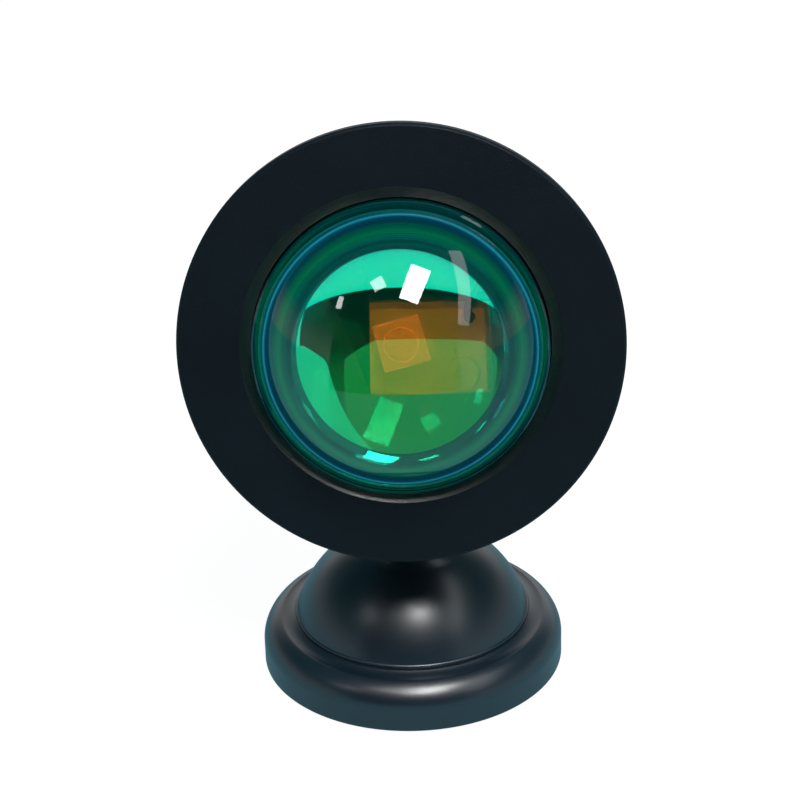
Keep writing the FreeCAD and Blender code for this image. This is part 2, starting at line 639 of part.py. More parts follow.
# --- power socket, button and rear cap --------------------------------------------------------------
shell = stadium(socket_radius, socket_half, socket_long, 0, -socket_down, driver_back)
hollow = stadium(socket_radius - socket_wall, socket_half, socket_long - socket_back, 0,
                 -socket_down, driver_back + socket_back)
keep(cut(shell, [hollow]), "power_socket", HEAD)
keep(together([block(tongue_wide, tongue_thick, tongue_long, 0, -socket_down,
                     driver_back + socket_back)]), "socket_tongue", HEAD)
flange_front = barrel_end - button_flange_thick
plunger_front = flange_front - plunger_long
switch_back = driver_back + switch_tall
body = block(switch_side, switch_side, switch_tall, 0, 0, driver_back)
well = cylinder(plunger_radius + running, plunger_room, 0, 0, switch_back - plunger_room)
keep(cut(body, [well]), "switch_body", on_driver(0, button_up))
keep(disc(plunger_radius, plunger_long, plunger_front, "plunger"), "switch_plunger",
     on_driver(0, button_up))
button_face = barrel_end + cap_thick + button_proud
keep(turned([
    (0, flange_front), (button_flange, flange_front), (button_flange, barrel_end),
    (button_radius, barrel_end), (button_radius, button_face - loose),
    (button_radius - loose, button_face), (button_radius * DISH_SHARE, button_face),
    (0, button_face - button_dish)], "button"), "power_button", on_driver(0, button_up))
cap_back = barrel_end + cap_thick
cap_blank = turned([
    (0, barrel_end), (barrel_radius, barrel_end), (barrel_radius, cap_back - cap_chamfer),
    (barrel_radius - cap_chamfer, cap_back), (0, cap_back)], "cap_blank")
openings = [cylinder(button_radius + loose, cap_thick, 0, button_up, barrel_end),
            stadium(socket_radius + loose, socket_half, cap_thick, 0, -socket_down, barrel_end)]
for x, y, _ in round_the_axis(3, 90, boss_circle):
    openings.append(cylinder(screw_hole, cap_thick, x, y, barrel_end))
    openings.append(cylinder(small_head + loose, small_head_tall, x, y, cap_back - small_head_tall))
for side in (-1, 1):
    for step in range(3):
        openings.append(block(cap_vent_wide, cap_vent_long, cap_thick,
                              (cap_vent_out + cap_vent_pitch * step) * side, 0, barrel_end))
keep(cut(cap_blank, openings), "rear_cap", HEAD)
keep(together([screw(small_shank, cap_back - small_head_tall - boss_front - loose * 2, small_head,
                     small_head_tall, small_key, x, y, cap_back - small_head_tall)
               for x, y, _ in round_the_axis(3, 90, boss_circle)]), "rear_cap_screws", HEAD)

# --- fork, tilt screw and swivel ----------------------------------------------------------------------
slot_half = lug_wide * 0.5 + washer_thick
fork_side = slot_half + ear_thick
collar_low = dome_flat + thrust_thick
collar_top = collar_low + collar_thick
slot_floor = pivot_high - fork_floor
stud = cylinder(stud_radius, collar_low - stud_end + collar_thick * 0.5, 0, 0, stud_end)
collar = cylinder(collar_radius, collar_thick, 0, 0, collar_low)
yoke = slab([(-fork_half, collar_top), (fork_half, collar_top), (knuckle, pivot_high),
             (0, pivot_high + knuckle, knuckle, 1), (-knuckle, pivot_high, knuckle, 1)],
            fork_side * 2, "yoke")
slot = block(slot_half * 2, knuckle * 4, fork_floor + knuckle * 2, 0, 0, slot_floor)
ear_hole = cylinder(big_shank + running, fork_side * 2, fork_side * -1, 0, pivot_high, along_x)
keep(cut(joined([stud, collar, yoke]), [slot, ear_hole]), "neck_fork")
against_x = FreeCAD.Rotation(Y_AXIS, -90)
keep(screw(big_shank, fork_side * 2 + big_nut_tall + loose, big_head, big_head_tall, big_key,
           fork_side * -1, 0, pivot_high, against_x), "tilt_screw")
nut = hexagon(big_nut, big_nut_tall, fork_side, 0, pivot_high, along_x)
nut_hole = cylinder(big_shank + running, big_nut_tall, fork_side, 0, pivot_high, along_x)
keep(cut(nut, [nut_hole]), "tilt_nut")
rings = []
for x in (slot_half * -1, lug_wide * 0.5):
    ring = cylinder(washer_radius, washer_thick, x, 0, pivot_high, along_x)
    bore = cylinder(big_shank + running, washer_thick, x, 0, pivot_high, along_x)
    rings.append(cut(ring, [bore]))
keep(together(rings), "friction_washers")
keep(tube(collar_radius, stud_radius + running, thrust_thick, dome_flat, "thrust"),
     "thrust_washer")
spring_low = hub_low - spring_thick
keep(tube(spring_radius, stud_radius + running, spring_thick, spring_low, "spring"),
     "spring_washer")
nut_low = spring_low - swivel_nut_tall
keep(cut(hexagon(swivel_nut_corner, swivel_nut_tall, 0, 0, nut_low),
         [cylinder(stud_radius + running, swivel_nut_tall, 0, 0, nut_low)]), "swivel_nut")

# --- foot -----------------------------------------------------------------------------------------------
plate_top = pad_high + plate_thick
spigot_outer = ring_inner - loose
dome_blank = turned([
    (stud_radius + running, dome_flat), (stud_radius + running, hub_low), (hub_radius, hub_low),
    (hub_radius, hub_meet), (spigot_outer - spigot_wall, spigot_meet, dome_inner, -1),
    (spigot_outer - spigot_wall, spigot_low), (spigot_outer, spigot_low),
    (spigot_outer, shoulder_top), (lip_radius, shoulder_top), (lip_radius, lip_top),
    (lip_radius - lip_set, lip_top), (flare_radius, flare_low, dome_radius, 1),
    (flare_top, dome_flat, flare_curve, -1)], "dome_blank")
stems, stem_holes, plate_holes, pad_holes, notches = [], [], [], [], []
for x, y, _ in round_the_axis(3, 90, stem_circle):
    stems.append(cylinder(stem_radius, stem_top - plate_top, x, y, plate_top))
    stem_holes.append(cylinder(foot_shank + running, stem_bore, x, y, plate_top))
    plate_holes.append(cylinder(foot_shank + running, plate_thick, x, y, pad_high))
    pad_holes.append(cylinder(foot_head + loose, foot_head_tall, x, y, pad_high - foot_head_tall))
    notches.append(cylinder(stem_radius + loose, weight_top, x, y, plate_top))
keep(cut(joined([dome_blank] + stems), stem_holes), "base_dome")
keep(turned([
    (pocket_radius, foot_clear), (foot_radius, foot_clear), (foot_radius, wall_top),
    (shoulder_radius, shoulder_top, shoulder_curve, 1), (ring_inner, shoulder_top),
    (ring_inner, plate_top), (pocket_radius, plate_top)], "ring_solid"), "base_ring")
weight_hole = cylinder(big_shank + running, weight_bore, 0, 0, plate_top)
keep(cut(disc(weight_radius, weight_top - plate_top, plate_top, "weight_blank"),
         notches + [weight_hole]), "base_weight")
plate_holes.append(cylinder(big_shank + running, plate_thick, 0, 0, pad_high))
keep(cut(disc(pocket_radius - loose, plate_thick, pad_high, "plate_blank"), plate_holes),
     "base_plate")
pad_holes.append(cylinder(foot_head + loose, foot_head_tall, 0, 0, pad_high - foot_head_tall))
keep(cut(disc(pad_radius, pad_high, 0, "pad_blank"), pad_holes), "foot_pad")
keep(together([screw(foot_shank, plate_thick + stem_bore * BITE, foot_head, foot_head_tall,
                     small_key, x, y, pad_high, UPSIDE_DOWN)
               for x, y, _ in round_the_axis(3, 90, stem_circle)]), "base_screws")
keep(screw(big_shank, plate_thick + weight_bore * BITE, foot_head, foot_head_tall, small_key,
           0, 0, pad_high, UPSIDE_DOWN), "weight_screw")

# --- check and write ------------------------------------------------------------------------------------
doc.recompute()
for thing in doc.Objects:
    if "Invalid" in thing.State or "Error" in thing.State:
        raise RuntimeError("%s (%s) did not build: %s" % (thing.Label, thing.Name, thing.State))
for outline in doc.findObjects("Sketcher::SketchObject"):
    if outline.solve() != 0 or outline.FullyConstrained is False:
        raise RuntimeError("%s is not fully drawn" % outline.Label)
os.makedirs("parts", exist_ok=True)
box = FreeCAD.BoundBox()
for name, part in PARTS.items():
    shape = part.Shape
    if shape.isNull() or not shape.isValid() or not shape.Solids:
        raise RuntimeError("%s has no sound solid" % name)
    shape.exportStep("parts/%s.step" % name)
    box.add(shape.BoundBox)
    print("%-20s %d solid(s) %9.1f mm3" % (name, len(shape.Solids), shape.Volume))
print("%d parts, %.1f x %.1f x %.1f mm" % (len(PARTS), box.XLength, box.YLength, box.ZLength))
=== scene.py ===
# %% [markdown]
# A small projection lamp: a round lens set in a flat black disc, a vented light head behind it,
# a tilting fork and a low domed foot. The solids come from the frame, in metres, and this lesson
# dresses them: each visible piece is turned or cut again with softer edges and finer detail, and
# every surface gets a finish made from nodes.

# %% The frame and the units
import math

import bpy
from mathutils import Matrix, Vector


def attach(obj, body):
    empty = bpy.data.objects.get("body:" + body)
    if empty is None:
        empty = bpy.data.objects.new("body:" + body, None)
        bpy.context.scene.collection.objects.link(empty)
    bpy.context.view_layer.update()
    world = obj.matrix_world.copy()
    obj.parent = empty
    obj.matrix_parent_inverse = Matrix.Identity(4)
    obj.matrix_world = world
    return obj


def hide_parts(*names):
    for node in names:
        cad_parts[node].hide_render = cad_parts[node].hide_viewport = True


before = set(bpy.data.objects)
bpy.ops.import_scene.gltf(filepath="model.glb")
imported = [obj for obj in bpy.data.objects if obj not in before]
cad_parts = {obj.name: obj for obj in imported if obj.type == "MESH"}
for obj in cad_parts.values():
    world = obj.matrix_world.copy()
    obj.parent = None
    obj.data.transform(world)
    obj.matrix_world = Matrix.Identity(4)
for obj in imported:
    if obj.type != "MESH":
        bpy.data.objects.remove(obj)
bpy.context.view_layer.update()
MM = 0.001

# %% [markdown]
# The head is drawn about the lens axis, as it would be on a lathe: Z runs back from the bezel's
# face, Y is up and X points to the viewer's left. At rest the whole head leans back by 12.5
# degrees on the tilt screw, so one matrix carries every head piece to its place.

# %% The head's own axes
LEAN = math.radians(12.5)
# The tilt screw in mm: above the table, behind the bezel's face, and below the lens axis.
PIVOT_HIGH, PIVOT_BACK, PIVOT_DROP = 31.0, 25.04, 29.79
along = Vector((0, math.cos(LEAN), -math.sin(LEAN)))
upward = Vector((0, math.sin(LEAN), math.cos(LEAN)))
face_centre = Vector((0, 0, PIVOT_HIGH)) - along * PIVOT_BACK + upward * PIVOT_DROP
HEAD = Matrix.LocRotScale(face_centre * MM, None, None) @ Matrix(
    ((-1, 0, 0, 0), (0, upward.y, along.y, 0), (0, upward.z, along.z, 0), (0, 0, 0, 1)))
STAND = Matrix.Identity(4)
print("bezel face centre in mm", [round(v, 3) for v in face_centre])

# %% [markdown]
# Pieces start as a line, as on paper: one point is put at the first corner and extruded from
# corner to corner. An operator acts on all that is selected, so everything is let go first.

# %% Tools for drawing a line
MERGE = MM * 0.001


def let_go():
    """Leaves nothing selected, so that an operator acts on the new piece alone."""
    bpy.ops.object.select_all(action="DESELECT")


def take(piece):
    let_go()
    piece.select_set(True)
    bpy.context.view_layer.objects.active = piece


def trace(name, corners):
    """A line through corners in mm, left in edit mode with all of it selected."""
    let_go()
    bpy.ops.mesh.primitive_plane_add(size=MM)
    piece = bpy.context.object
    piece.name = piece.data.name = name
    bpy.ops.object.mode_set(mode="EDIT")
    bpy.ops.mesh.select_all(action="SELECT")
    bpy.ops.mesh.merge(type="CENTER")
    bpy.ops.transform.translate(value=[v * MM for v in corners[0]])
    for here, there in zip(corners, corners[1:]):
        way = [(b - a) * MM for a, b in zip(here, there)]
        bpy.ops.mesh.extrude_vertices_move(TRANSFORM_OT_translate={"value": way})
    bpy.ops.mesh.select_all(action="SELECT")
    bpy.ops.mesh.remove_doubles(threshold=MERGE)
    return piece


print("corners nearer than", MERGE / MM, "mm are merged")

# %% [markdown]
# Most pieces of the lamp are turned parts. By hand one would draw half of the section and spin
# it round Z, so the lathe does just that. The seam and the poles are merged, and then the faces
# are turned outwards.

# %% Lathe
def lathe(name, corners, steps=128):
    """Spins an outline of (radius, height) corners, in mm. It is closed unless it starts and
    ends on the axis."""
    whole = list(corners)
    if corners[0][0] > 0 or corners[-1][0] > 0:
        whole.append(corners[0])
    piece = trace(name, [(radius, 0, height) for radius, height in whole])
    bpy.ops.mesh.spin(steps=steps, angle=math.tau, center=(0, 0, 0), axis=(0, 0, 1))
    bpy.ops.mesh.select_all(action="SELECT")
    bpy.ops.mesh.remove_doubles(threshold=MERGE)
    bpy.ops.mesh.normals_make_consistent(inside=False)
    bpy.ops.object.mode_set(mode="OBJECT")
    return piece


def bow(start, end, radius, side, steps):
    """Corners along an arc from start to end; side 1 keeps its centre to the left of the way."""
    start, end = Vector(start), Vector(end)
    chord = end - start
    reach = math.sqrt(max(radius ** 2 - chord.length ** 2 / 4, 0))
    centre = (start + end) / 2 + Vector((-chord.y, chord.x)).normalized() * reach * side
    first = math.atan2(start.y - centre.y, start.x - centre.x)
    sweep = (math.atan2(end.y - centre.y, end.x - centre.x) - first) % math.tau
    sweep = sweep if side > 0 else sweep - math.tau
    return [(centre.x + radius * math.cos(first + sweep * n / steps),
             centre.y + radius * math.sin(first + sweep * n / steps)) for n in range(steps + 1)]


# %% [markdown]
# Real machined edges are never sharp: a tool leaves a small break that catches the light. A
# Bevel modifier rounds every edge that turns by more than its angle.

# %% Tools for edges
def apply(piece, kind, **settings):
    take(piece)
    modifier = piece.modifiers.new(kind.title(), kind)
    for key, value in settings.items():
        setattr(modifier, key, value)
    bpy.ops.object.modifier_apply(modifier=modifier.name)


def soften(piece, width, segments=3, angle=30):
    apply(piece, "BEVEL", width=width * MM, segments=segments, limit_method="ANGLE",
          angle_limit=math.radians(angle), use_clamp_overlap=True)


# %% [markdown]
# Holes, slots and bosses are cut out or welded on with rods and bricks, as a drill and a mill
# would. A rod stands along Z, and a brick lies along the axes, so both are easy to size.

# %% Rods and bricks
def rod(radius, low, high, x=0, y=0, sides=32):
    """A cylinder along Z between two heights, in mm."""
    let_go()
    bpy.ops.mesh.primitive_cylinder_add(vertices=sides, radius=radius * MM,
                                        depth=(high - low) * MM,
                                        location=(x * MM, y * MM, (low + high) / 2 * MM))
    bpy.ops.object.transform_apply(location=True, rotation=True, scale=True)
    return bpy.context.object


def brick(low, high):
    """A block between two corners, in mm."""
    let_go()
    bpy.ops.mesh.primitive_cube_add(size=1, location=[(a + b) / 2 * MM for a, b in zip(low, high)],
                                    scale=[(b - a) * MM for a, b in zip(low, high)])
    bpy.ops.object.transform_apply(location=True, rotation=True, scale=True)
    return bpy.context.object


# %% [markdown]
# A tool is then turned and moved to its place, and its place is written into its mesh. Tools
# that don't touch are joined first, so that one cut does the work of many.

# %% Tools for places and cuts
def move(piece, place):
    take(piece)
    piece.matrix_world = place
    bpy.ops.object.transform_apply(location=True, rotation=True, scale=True)
    return piece


def about(axis, degrees):
    return Matrix.Rotation(math.radians(degrees), 4, axis)


def shift(x, y, z):
    """A move by a way in mm."""
    return Matrix.Translation((x * MM, y * MM, z * MM))


def one(tools):
    """Several tools that don't touch, joined as one mesh."""
    let_go()
    for tool in tools:
        tool.select_set(True)
    bpy.context.view_layer.objects.active = tools[0]
    bpy.ops.object.join()
    return bpy.context.object


def shape_with(piece, tools, operation):
    """Cuts the tools out of the piece, or welds them to it, and uses them up."""
    for tool in tools:
        take(piece)
        modifier = piece.modifiers.new("Shape", "BOOLEAN")
        modifier.object = tool
        modifier.operation = operation
        modifier.solver = "EXACT"
        bpy.ops.object.modifier_apply(modifier=modifier.name)
        bpy.data.objects.remove(tool)


# %% [markdown]
# A shaped piece is moved to its place, smoothed, painted, and tied to the body that it rides
# on. Weighted normals keep the big flat faces flat in the shading and let the small roundings
# take the whole bend.

# %% Last step of each piece
FINISHES = {}


def finish(piece, place, finish_name, body, nodes, smooth=35):
    """Puts a piece in its place, smooths it, paints it and ties it to the frame."""
    move(piece, place)
    bpy.ops.object.shade_smooth_by_angle(angle=math.radians(smooth))
    apply(piece, "WEIGHTED_NORMAL", keep_sharp=True, weight=100)
    piece.data.materials.clear()
    piece.data.materials.append(FINISHES[finish_name])
    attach(piece, body)
    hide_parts(*nodes)
    size = [round(v / MM, 1) for v in piece.dimensions]
    print(piece.name, "mm", size, "faces", len(piece.data.polygons))


# %% [markdown]
# A finish is never one flat colour. Blasted and anodised metal has a fine grain that breaks up
# the gloss, paint has a faint orange peel, and turned metal keeps the marks of the tool. One
# tool makes such a finish: Object coordinates feed a fine noise for the bump and the roughness,
# and a broad one for the colour. Two small helpers join the nodes.

# %% Tools for nodes
def feed(tree, source, socket):
    """Gives a socket a plain value or the result of another socket."""
    if isinstance(source, bpy.types.NodeSocket):
        tree.links.new(source, socket)
    else:
        socket.default_value = source


def ramp_of(tree, stops, factor):
    """The colour that a ramp of (place, colour) stops has at the factor."""
    ramp = tree.nodes.new("ShaderNodeValToRGB")
    elements = ramp.color_ramp.elements
    while len(elements) < len(stops):
        elements.new(0.5)
    for element, (place, colour) in zip(elements, stops):
        element.position = place
        element.color = (*colour, 1)
    feed(tree, factor, ramp.inputs["Fac"])
    return ramp.outputs["Color"]


# %% [markdown]
# Most finishes differ only in numbers, so one function makes them all. The size of a grain, the
# depth of the bump and the size of a patch of colour are in mm.

# %% A tool for finishes
def noise_of(tree, where, size, detail):
    """Noise whose grain has a size in mm."""
    noise = tree.nodes.new("ShaderNodeTexNoise")
    noise.inputs["Scale"].default_value = 1 / (size * MM)
    noise.inputs["Detail"].default_value = detail
    feed(tree, where, noise.inputs["Vector"])
    return noise.outputs["Fac"]


def finish_of(name, colour, rough, metal=0.0, grain=0.25, depth=0.02, patch=9.0, shade=0.25,
              spread=0.06, stretch=(1, 1, 1), **sockets):
    material = bpy.data.materials.new(name)
    material.use_nodes = True
    tree = material.node_tree
    skin = tree.nodes["Principled BSDF"]
    skin.inputs["Metallic"].default_value = metal
    for socket, value in sockets.items():
        skin.inputs[socket.replace("_", " ")].default_value = value
    where = tree.nodes.new("ShaderNodeTexCoord")
    turn = tree.nodes.new("ShaderNodeMapping")
    turn.inputs["Scale"].default_value = stretch
    feed(tree, where.outputs["Object"], turn.inputs["Vector"])
    broad = noise_of(tree, turn.outputs["Vector"], patch, 4)
    fine = noise_of(tree, turn.outputs["Vector"], grain, 2)
    dark = [c * (1 - shade) for c in colour]
    light = [min(1, c * (1 + shade)) for c in colour]
    feed(tree, ramp_of(tree, ((0.3, dark), (0.7, light)), broad), skin.inputs["Base Color"])
    span = tree.nodes.new("ShaderNodeMapRange")
    span.inputs["To Min"].default_value = max(0.0, rough - spread)
    span.inputs["To Max"].default_value = min(1.0, rough + spread)
    feed(tree, fine, span.inputs["Value"])
    feed(tree, span.outputs["Result"], skin.inputs["Roughness"])
    bump = tree.nodes.new("ShaderNodeBump")
    bump.inputs["Strength"].default_value = 1.0
    bump.inputs["Distance"].default_value = depth * MM
    feed(tree, fine, bump.inputs["Height"])
    feed(tree, bump.outputs["Normal"], skin.inputs["Normal"])
    FINISHES[name] = material
    return material


# %% [markdown]
# The disc and the barrel are blasted aluminium, anodised black with a cold cast. The foot is
# sprayed and baked: smoother, with a soft gloss that draws the lamps as blurred bands.

# %% Black finishes
finish_of("blasted_black", (0.0022, 0.007, 0.011), 0.5, grain=0.2, depth=0.05, patch=14,
          shade=0.12, Specular_IOR_Level=0.2)
finish_of("barrel_black", (0.005, 0.012, 0.017), 0.42, grain=0.14, depth=0.014, patch=14,
          shade=0.12, Specular_IOR_Level=0.35)
finish_of("sink_black", (0.0015, 0.004, 0.005), 0.33, grain=0.3, depth=0.05, patch=14,
          shade=0.12, Specular_IOR_Level=0.7)
finish_of("foot_paint", (0.003, 0.01, 0.018), 0.34, grain=0.5, depth=0.004, patch=16,
          shade=0.1, spread=0.03, Specular_IOR_Level=1.0)
finish_of("flocked_black", (0.003, 0.0035, 0.004), 0.75, grain=0.1, depth=0.02)
finish_of("moulded_black", (0.012, 0.013, 0.014), 0.4, grain=0.3, depth=0.01)
print("black finishes", list(FINISHES))

# %% [markdown]
# Inside and below there are plain workshop materials: bright screws, a milled heat sink, the
# circuit boards with their solder mask, brass, rubber and cast iron. The white board and its
# screw, the emitter's package and its phosphor also carry a faint emission. This is painted glow,
# since the emitter is off.

# %% Workshop finishes
finish_of("bright_steel", (0.62, 0.62, 0.6), 0.28, metal=1, grain=0.08, depth=0.004, shade=0.06)
finish_of("black_steel", (0.03, 0.032, 0.034), 0.36, metal=0.6, grain=0.12, depth=0.008)
finish_of("milled_aluminium", (0.72, 0.73, 0.74), 0.34, metal=1, grain=0.2, depth=0.006,
          shade=0.05, stretch=(1, 12, 1))
# Painted glow: a faint emission on the white mask, though the board is no lamp.
finish_of("white_mask_painted_glow", (0.78, 0.77, 0.73), 0.42, grain=0.4, depth=0.004, shade=0.03,
          Emission_Color=(1, 1, 0.9, 1), Emission_Strength=0.006)
finish_of("green_mask", (0.01, 0.11, 0.04), 0.36, grain=0.4, depth=0.01, shade=0.3, patch=3)
finish_of("grey_pad", (0.3, 0.32, 0.34), 0.8, grain=0.3, depth=0.01)
# Painted glow: an orange emission on the package and the phosphor of an emitter that is off.
finish_of("package_white_painted_glow", (0.74, 0.72, 0.68), 0.4, grain=0.1, depth=0.002, shade=0.03,
          Emission_Color=(1, 0.4, 0.1, 1), Emission_Strength=0.3)
finish_of("yellow_phosphor_painted_glow", (0.75, 0.52, 0.06), 0.6, grain=0.06, depth=0.01, shade=0.12,
          patch=0.4, Emission_Color=(1, 0.45, 0.1, 1), Emission_Strength=0.36)
finish_of("red_sleeve", (0.16, 0.006, 0.005), 0.45, grain=0.3, depth=0.01)
finish_of("black_sleeve", (0.012, 0.012, 0.013), 0.45, grain=0.3, depth=0.01)
finish_of("yellow_brass", (0.66, 0.46, 0.2), 0.3, metal=1, grain=0.1, depth=0.004, shade=0.08)
finish_of("dark_ferrite", (0.035, 0.035, 0.038), 0.6, grain=0.12, depth=0.02, shade=0.3)
finish_of("can_sleeve", (0.02, 0.03, 0.07), 0.35, grain=0.4, depth=0.004, shade=0.1)
finish_of("chip_epoxy", (0.016, 0.016, 0.017), 0.55, grain=0.1, depth=0.01)
finish_of("washer_white", (0.6, 0.6, 0.57), 0.5, grain=0.2, depth=0.006, shade=0.06)
finish_of("cast_iron", (0.09, 0.085, 0.08), 0.62, metal=0.7, grain=0.7, depth=0.06, shade=0.3)
finish_of("soft_pad", (0.022, 0.022, 0.023), 0.85, grain=0.18, depth=0.03, shade=0.2)
print("finishes", len(FINISHES))

# %% [markdown]
# The lens is clear moulded glass. Only its shape bends the light, so its finish is as plain as
# a finish can be: full transmission, no roughness, and the index of a dense optical glass. A
# trace of colour in the thick glass is enough.

# %% Lens glass
glass = finish_of("lens_glass", (0.97, 0.995, 0.985), 0.0, shade=0.003, grain=6, depth=0.0,
                  spread=0.0, Transmission_Weight=1.0, IOR=1.59)
for link in list(glass.node_tree.links):
    if link.to_socket.name in ("Normal", "Roughness"):
        glass.node_tree.links.remove(link)
glass.node_tree.nodes["Principled BSDF"].inputs["Roughness"].default_value = 0.0
print("glass links", len(glass.node_tree.links))

# %% [markdown]
# Behind the lens lies the colour filter: a disc with a stack of thin layers that lets orange
# light through and throws green back. The steeper the view, the shorter the wavelength that it
# throws back, so the green turns to teal and then blue. Layer Weight gives that angle. One ramp
# colours a mirror and another a clear shader, and the two are added, so that the emitter is
# seen through the reflections.

# %% Filter's mirror
THROWN = ((0.0, (0.0, 0.5, 0.19)), (0.06, (0.0, 0.66, 0.42)), (0.25, (0.0, 0.7, 0.62)),
          (0.6, (0.0, 0.28, 0.55)), (1.0, (0.05, 0.3, 0.6)))
PASSED = ((0.0, (0.42, 0.12, 0.004)), (0.4, (0.4, 0.06, 0.004)), (1.0, (0.3, 0.03, 0.02)))


def see_through(skin):
    """Lets light go straight through a Principled shader, unbent."""
    for socket, value in (("Roughness", 0.0), ("IOR", 1.0), ("Transmission Weight", 1.0)):
        skin.inputs[socket].default_value = value


def coating(tree):
    """Throws back the colours of one ramp and lets through those of another."""
    mirror = tree.nodes["Principled BSDF"]
    mirror.inputs["Metallic"].default_value = 1.0
    mirror.inputs["Roughness"].default_value = 0.01
    clear = tree.nodes.new("ShaderNodeBsdfPrincipled")
    see_through(clear)
    weight = tree.nodes.new("ShaderNodeLayerWeight")
    weight.inputs["Blend"].default_value = 0.5
    facing = weight.outputs["Facing"]
    feed(tree, ramp_of(tree, THROWN, facing), mirror.inputs["Base Color"])
    feed(tree, ramp_of(tree, PASSED, facing), clear.inputs["Base Color"])
    both = tree.nodes.new("ShaderNodeAddShader")
    feed(tree, mirror.outputs["BSDF"], both.inputs[0])
    feed(tree, clear.outputs["BSDF"], both.inputs[1])
    return both.outputs["Shader"]


print("colours thrown", len(THROWN), "and passed", len(PASSED))


# %% [markdown]
# Round its middle the filter shows a ring of fine lines in green and blue. The ring is painted
# light: an emission in bands and fine lines stands in for the reflections and glints seen through
# the lens's outer zone. The ring is a finish and no shape. A Mapping node turns the Object
# coordinates back to the lens axis, the distance from that axis picks a band of colour, and a sine
# wave along it draws the fine lines.

# %% Tools for the ring
def reckon(tree, operation, *sources):
    """The result of a Math node on values or sockets."""
    node = tree.nodes.new("ShaderNodeMath")
    node.operation = operation
    for place, source in enumerate(sources):
        feed(tree, source, node.inputs[place])
    return node.outputs["Value"]


def mix_shaders(tree, share, first, second):
    """Mixes two shaders; the share is that of the second."""
    mix = tree.nodes.new("ShaderNodeMixShader")
    for socket, source in zip(mix.inputs, (share, first, second)):
        feed(tree, source, socket)
    return mix.outputs["Shader"]


def from_axis(tree):
    """The distance from the lens axis, in metres."""
    where = tree.nodes.new("ShaderNodeTexCoord")
    centred = tree.nodes.new("ShaderNodeMapping")
    centred.vector_type = "TEXTURE"
    centred.inputs["Location"].default_value = HEAD.to_translation()
    centred.inputs["Rotation"].default_value = HEAD.to_euler()
    feed(tree, where.outputs["Object"], centred.inputs["Vector"])
    flat = tree.nodes.new("ShaderNodeVectorMath")
    flat.operation = "MULTIPLY"
    flat.inputs[1].default_value = (1, 1, 0)
    feed(tree, centred.outputs["Vector"], flat.inputs[0])
    radius = tree.nodes.new("ShaderNodeVectorMath")
    radius.operation = "LENGTH"
    feed(tree, flat.outputs["Vector"], radius.inputs[0])
    return radius.outputs["Value"]


# %% [markdown]
# The painted bands run from dim teal through green and blue to a bright blue line near the edge,
# which is a painted highlight. The radii and the pitch of the fine lines are in mm, and the
# strength swings about its middle.

# %% Painted glow of the ring
# Colours of the painted glow in the ring, with a painted highlight line near the edge.
GLOW_BANDS_FROM, GLOW_BANDS_TO = 12.7, 20.7
GLOW_BANDS = ((0.0, (0.0, 0.02, 0.02)), (0.1, (0.0, 0.04, 0.05)), (0.2, (0.0, 0.05, 0.04)),
         (0.27, (0.0, 0.1, 0.06)), (0.38, (0.0, 0.19, 0.08)), (0.5, (0.0, 0.09, 0.06)),
         (0.6, (0.0, 0.035, 0.06)), (0.71, (0.0, 0.04, 0.1)), (0.76, (0.014, 0.3, 0.44)),
         (0.81, (0.0, 0.04, 0.1)), (0.9, (0.002, 0.16, 0.1)), (1.0, (0.0, 0.03, 0.04)))
GLOW_LINE_PITCH, GLOW_LINE_SWING, GLOW_LINE_MIDDLE = 0.36, 0.3, 0.9


def painted_ring_glow(tree, radius):
    """The painted glow of the bands, stronger and weaker from one fine line to the next."""
    share = tree.nodes.new("ShaderNodeMapRange")
    share.inputs["From Min"].default_value = GLOW_BANDS_FROM * MM
    share.inputs["From Max"].default_value = GLOW_BANDS_TO * MM
    feed(tree, radius, share.inputs["Value"])
    # This emission paints the ring's reflections and glints. It is no lamp.
    ring = tree.nodes.new("ShaderNodeEmission")
    feed(tree, ramp_of(tree, GLOW_BANDS, share.outputs["Result"]), ring.inputs["Color"])
    turns = reckon(tree, "MULTIPLY", radius, 2 * math.pi / (GLOW_LINE_PITCH * MM))
    wave = reckon(tree, "SINE", turns)
    level = reckon(tree, "MULTIPLY_ADD", wave, GLOW_LINE_SWING, GLOW_LINE_MIDDLE)
    feed(tree, level, ring.inputs["Strength"])
    return ring.outputs["Emission"]


print("ring bands", len(GLOW_BANDS), "turns", round((GLOW_BANDS_TO - GLOW_BANDS_FROM) / GLOW_LINE_PITCH, 1))


# %% [markdown]
# The finish has two zones: the coating alone in the middle, and in the ring the painted glow with
# a quarter of the coating over it. The filter's rim is as good as unseen, and the lens's flat face
# is bonded to the coating, so neither bends the light or throws any back.

# %% Filter finishes
RING_FROM, COAT_ON_RING = 12.9, 0.25
film = bpy.data.materials.new("filter_coating")
film.use_nodes = True
film_tree = film.node_tree
coat, film_radius = coating(film_tree), from_axis(film_tree)
# In the ring, the painted glow lies under a quarter of the coating.
painted_ring_zone = mix_shaders(film_tree, COAT_ON_RING, painted_ring_glow(film_tree, film_radius), coat)
in_ring = reckon(film_tree, "GREATER_THAN", film_radius, RING_FROM * MM)
feed(film_tree, mix_shaders(film_tree, in_ring, coat, painted_ring_zone),
     film_tree.nodes["Material Output"].inputs["Surface"])
FINISHES["filter_coating"] = film
filter_body = finish_of("filter_body", (1.0, 1.0, 1.0), 0.0, shade=0.0, spread=0.0,
                        Transmission_Weight=1.0, IOR=1.0)
bonded = bpy.data.materials.new("bonded_face")
bonded.use_nodes = True
bonded_skin = bonded.node_tree.nodes["Principled BSDF"]
bonded_skin.inputs["Base Color"].default_value = (1, 1, 1, 1)
see_through(bonded_skin)
print("filter finishes", film.name, filter_body.name, bonded.name)

# %% [markdown]
# The solids that stay take their finish by their name. What is seen inside the vents and
# behind the lens gets the same care as the outside.

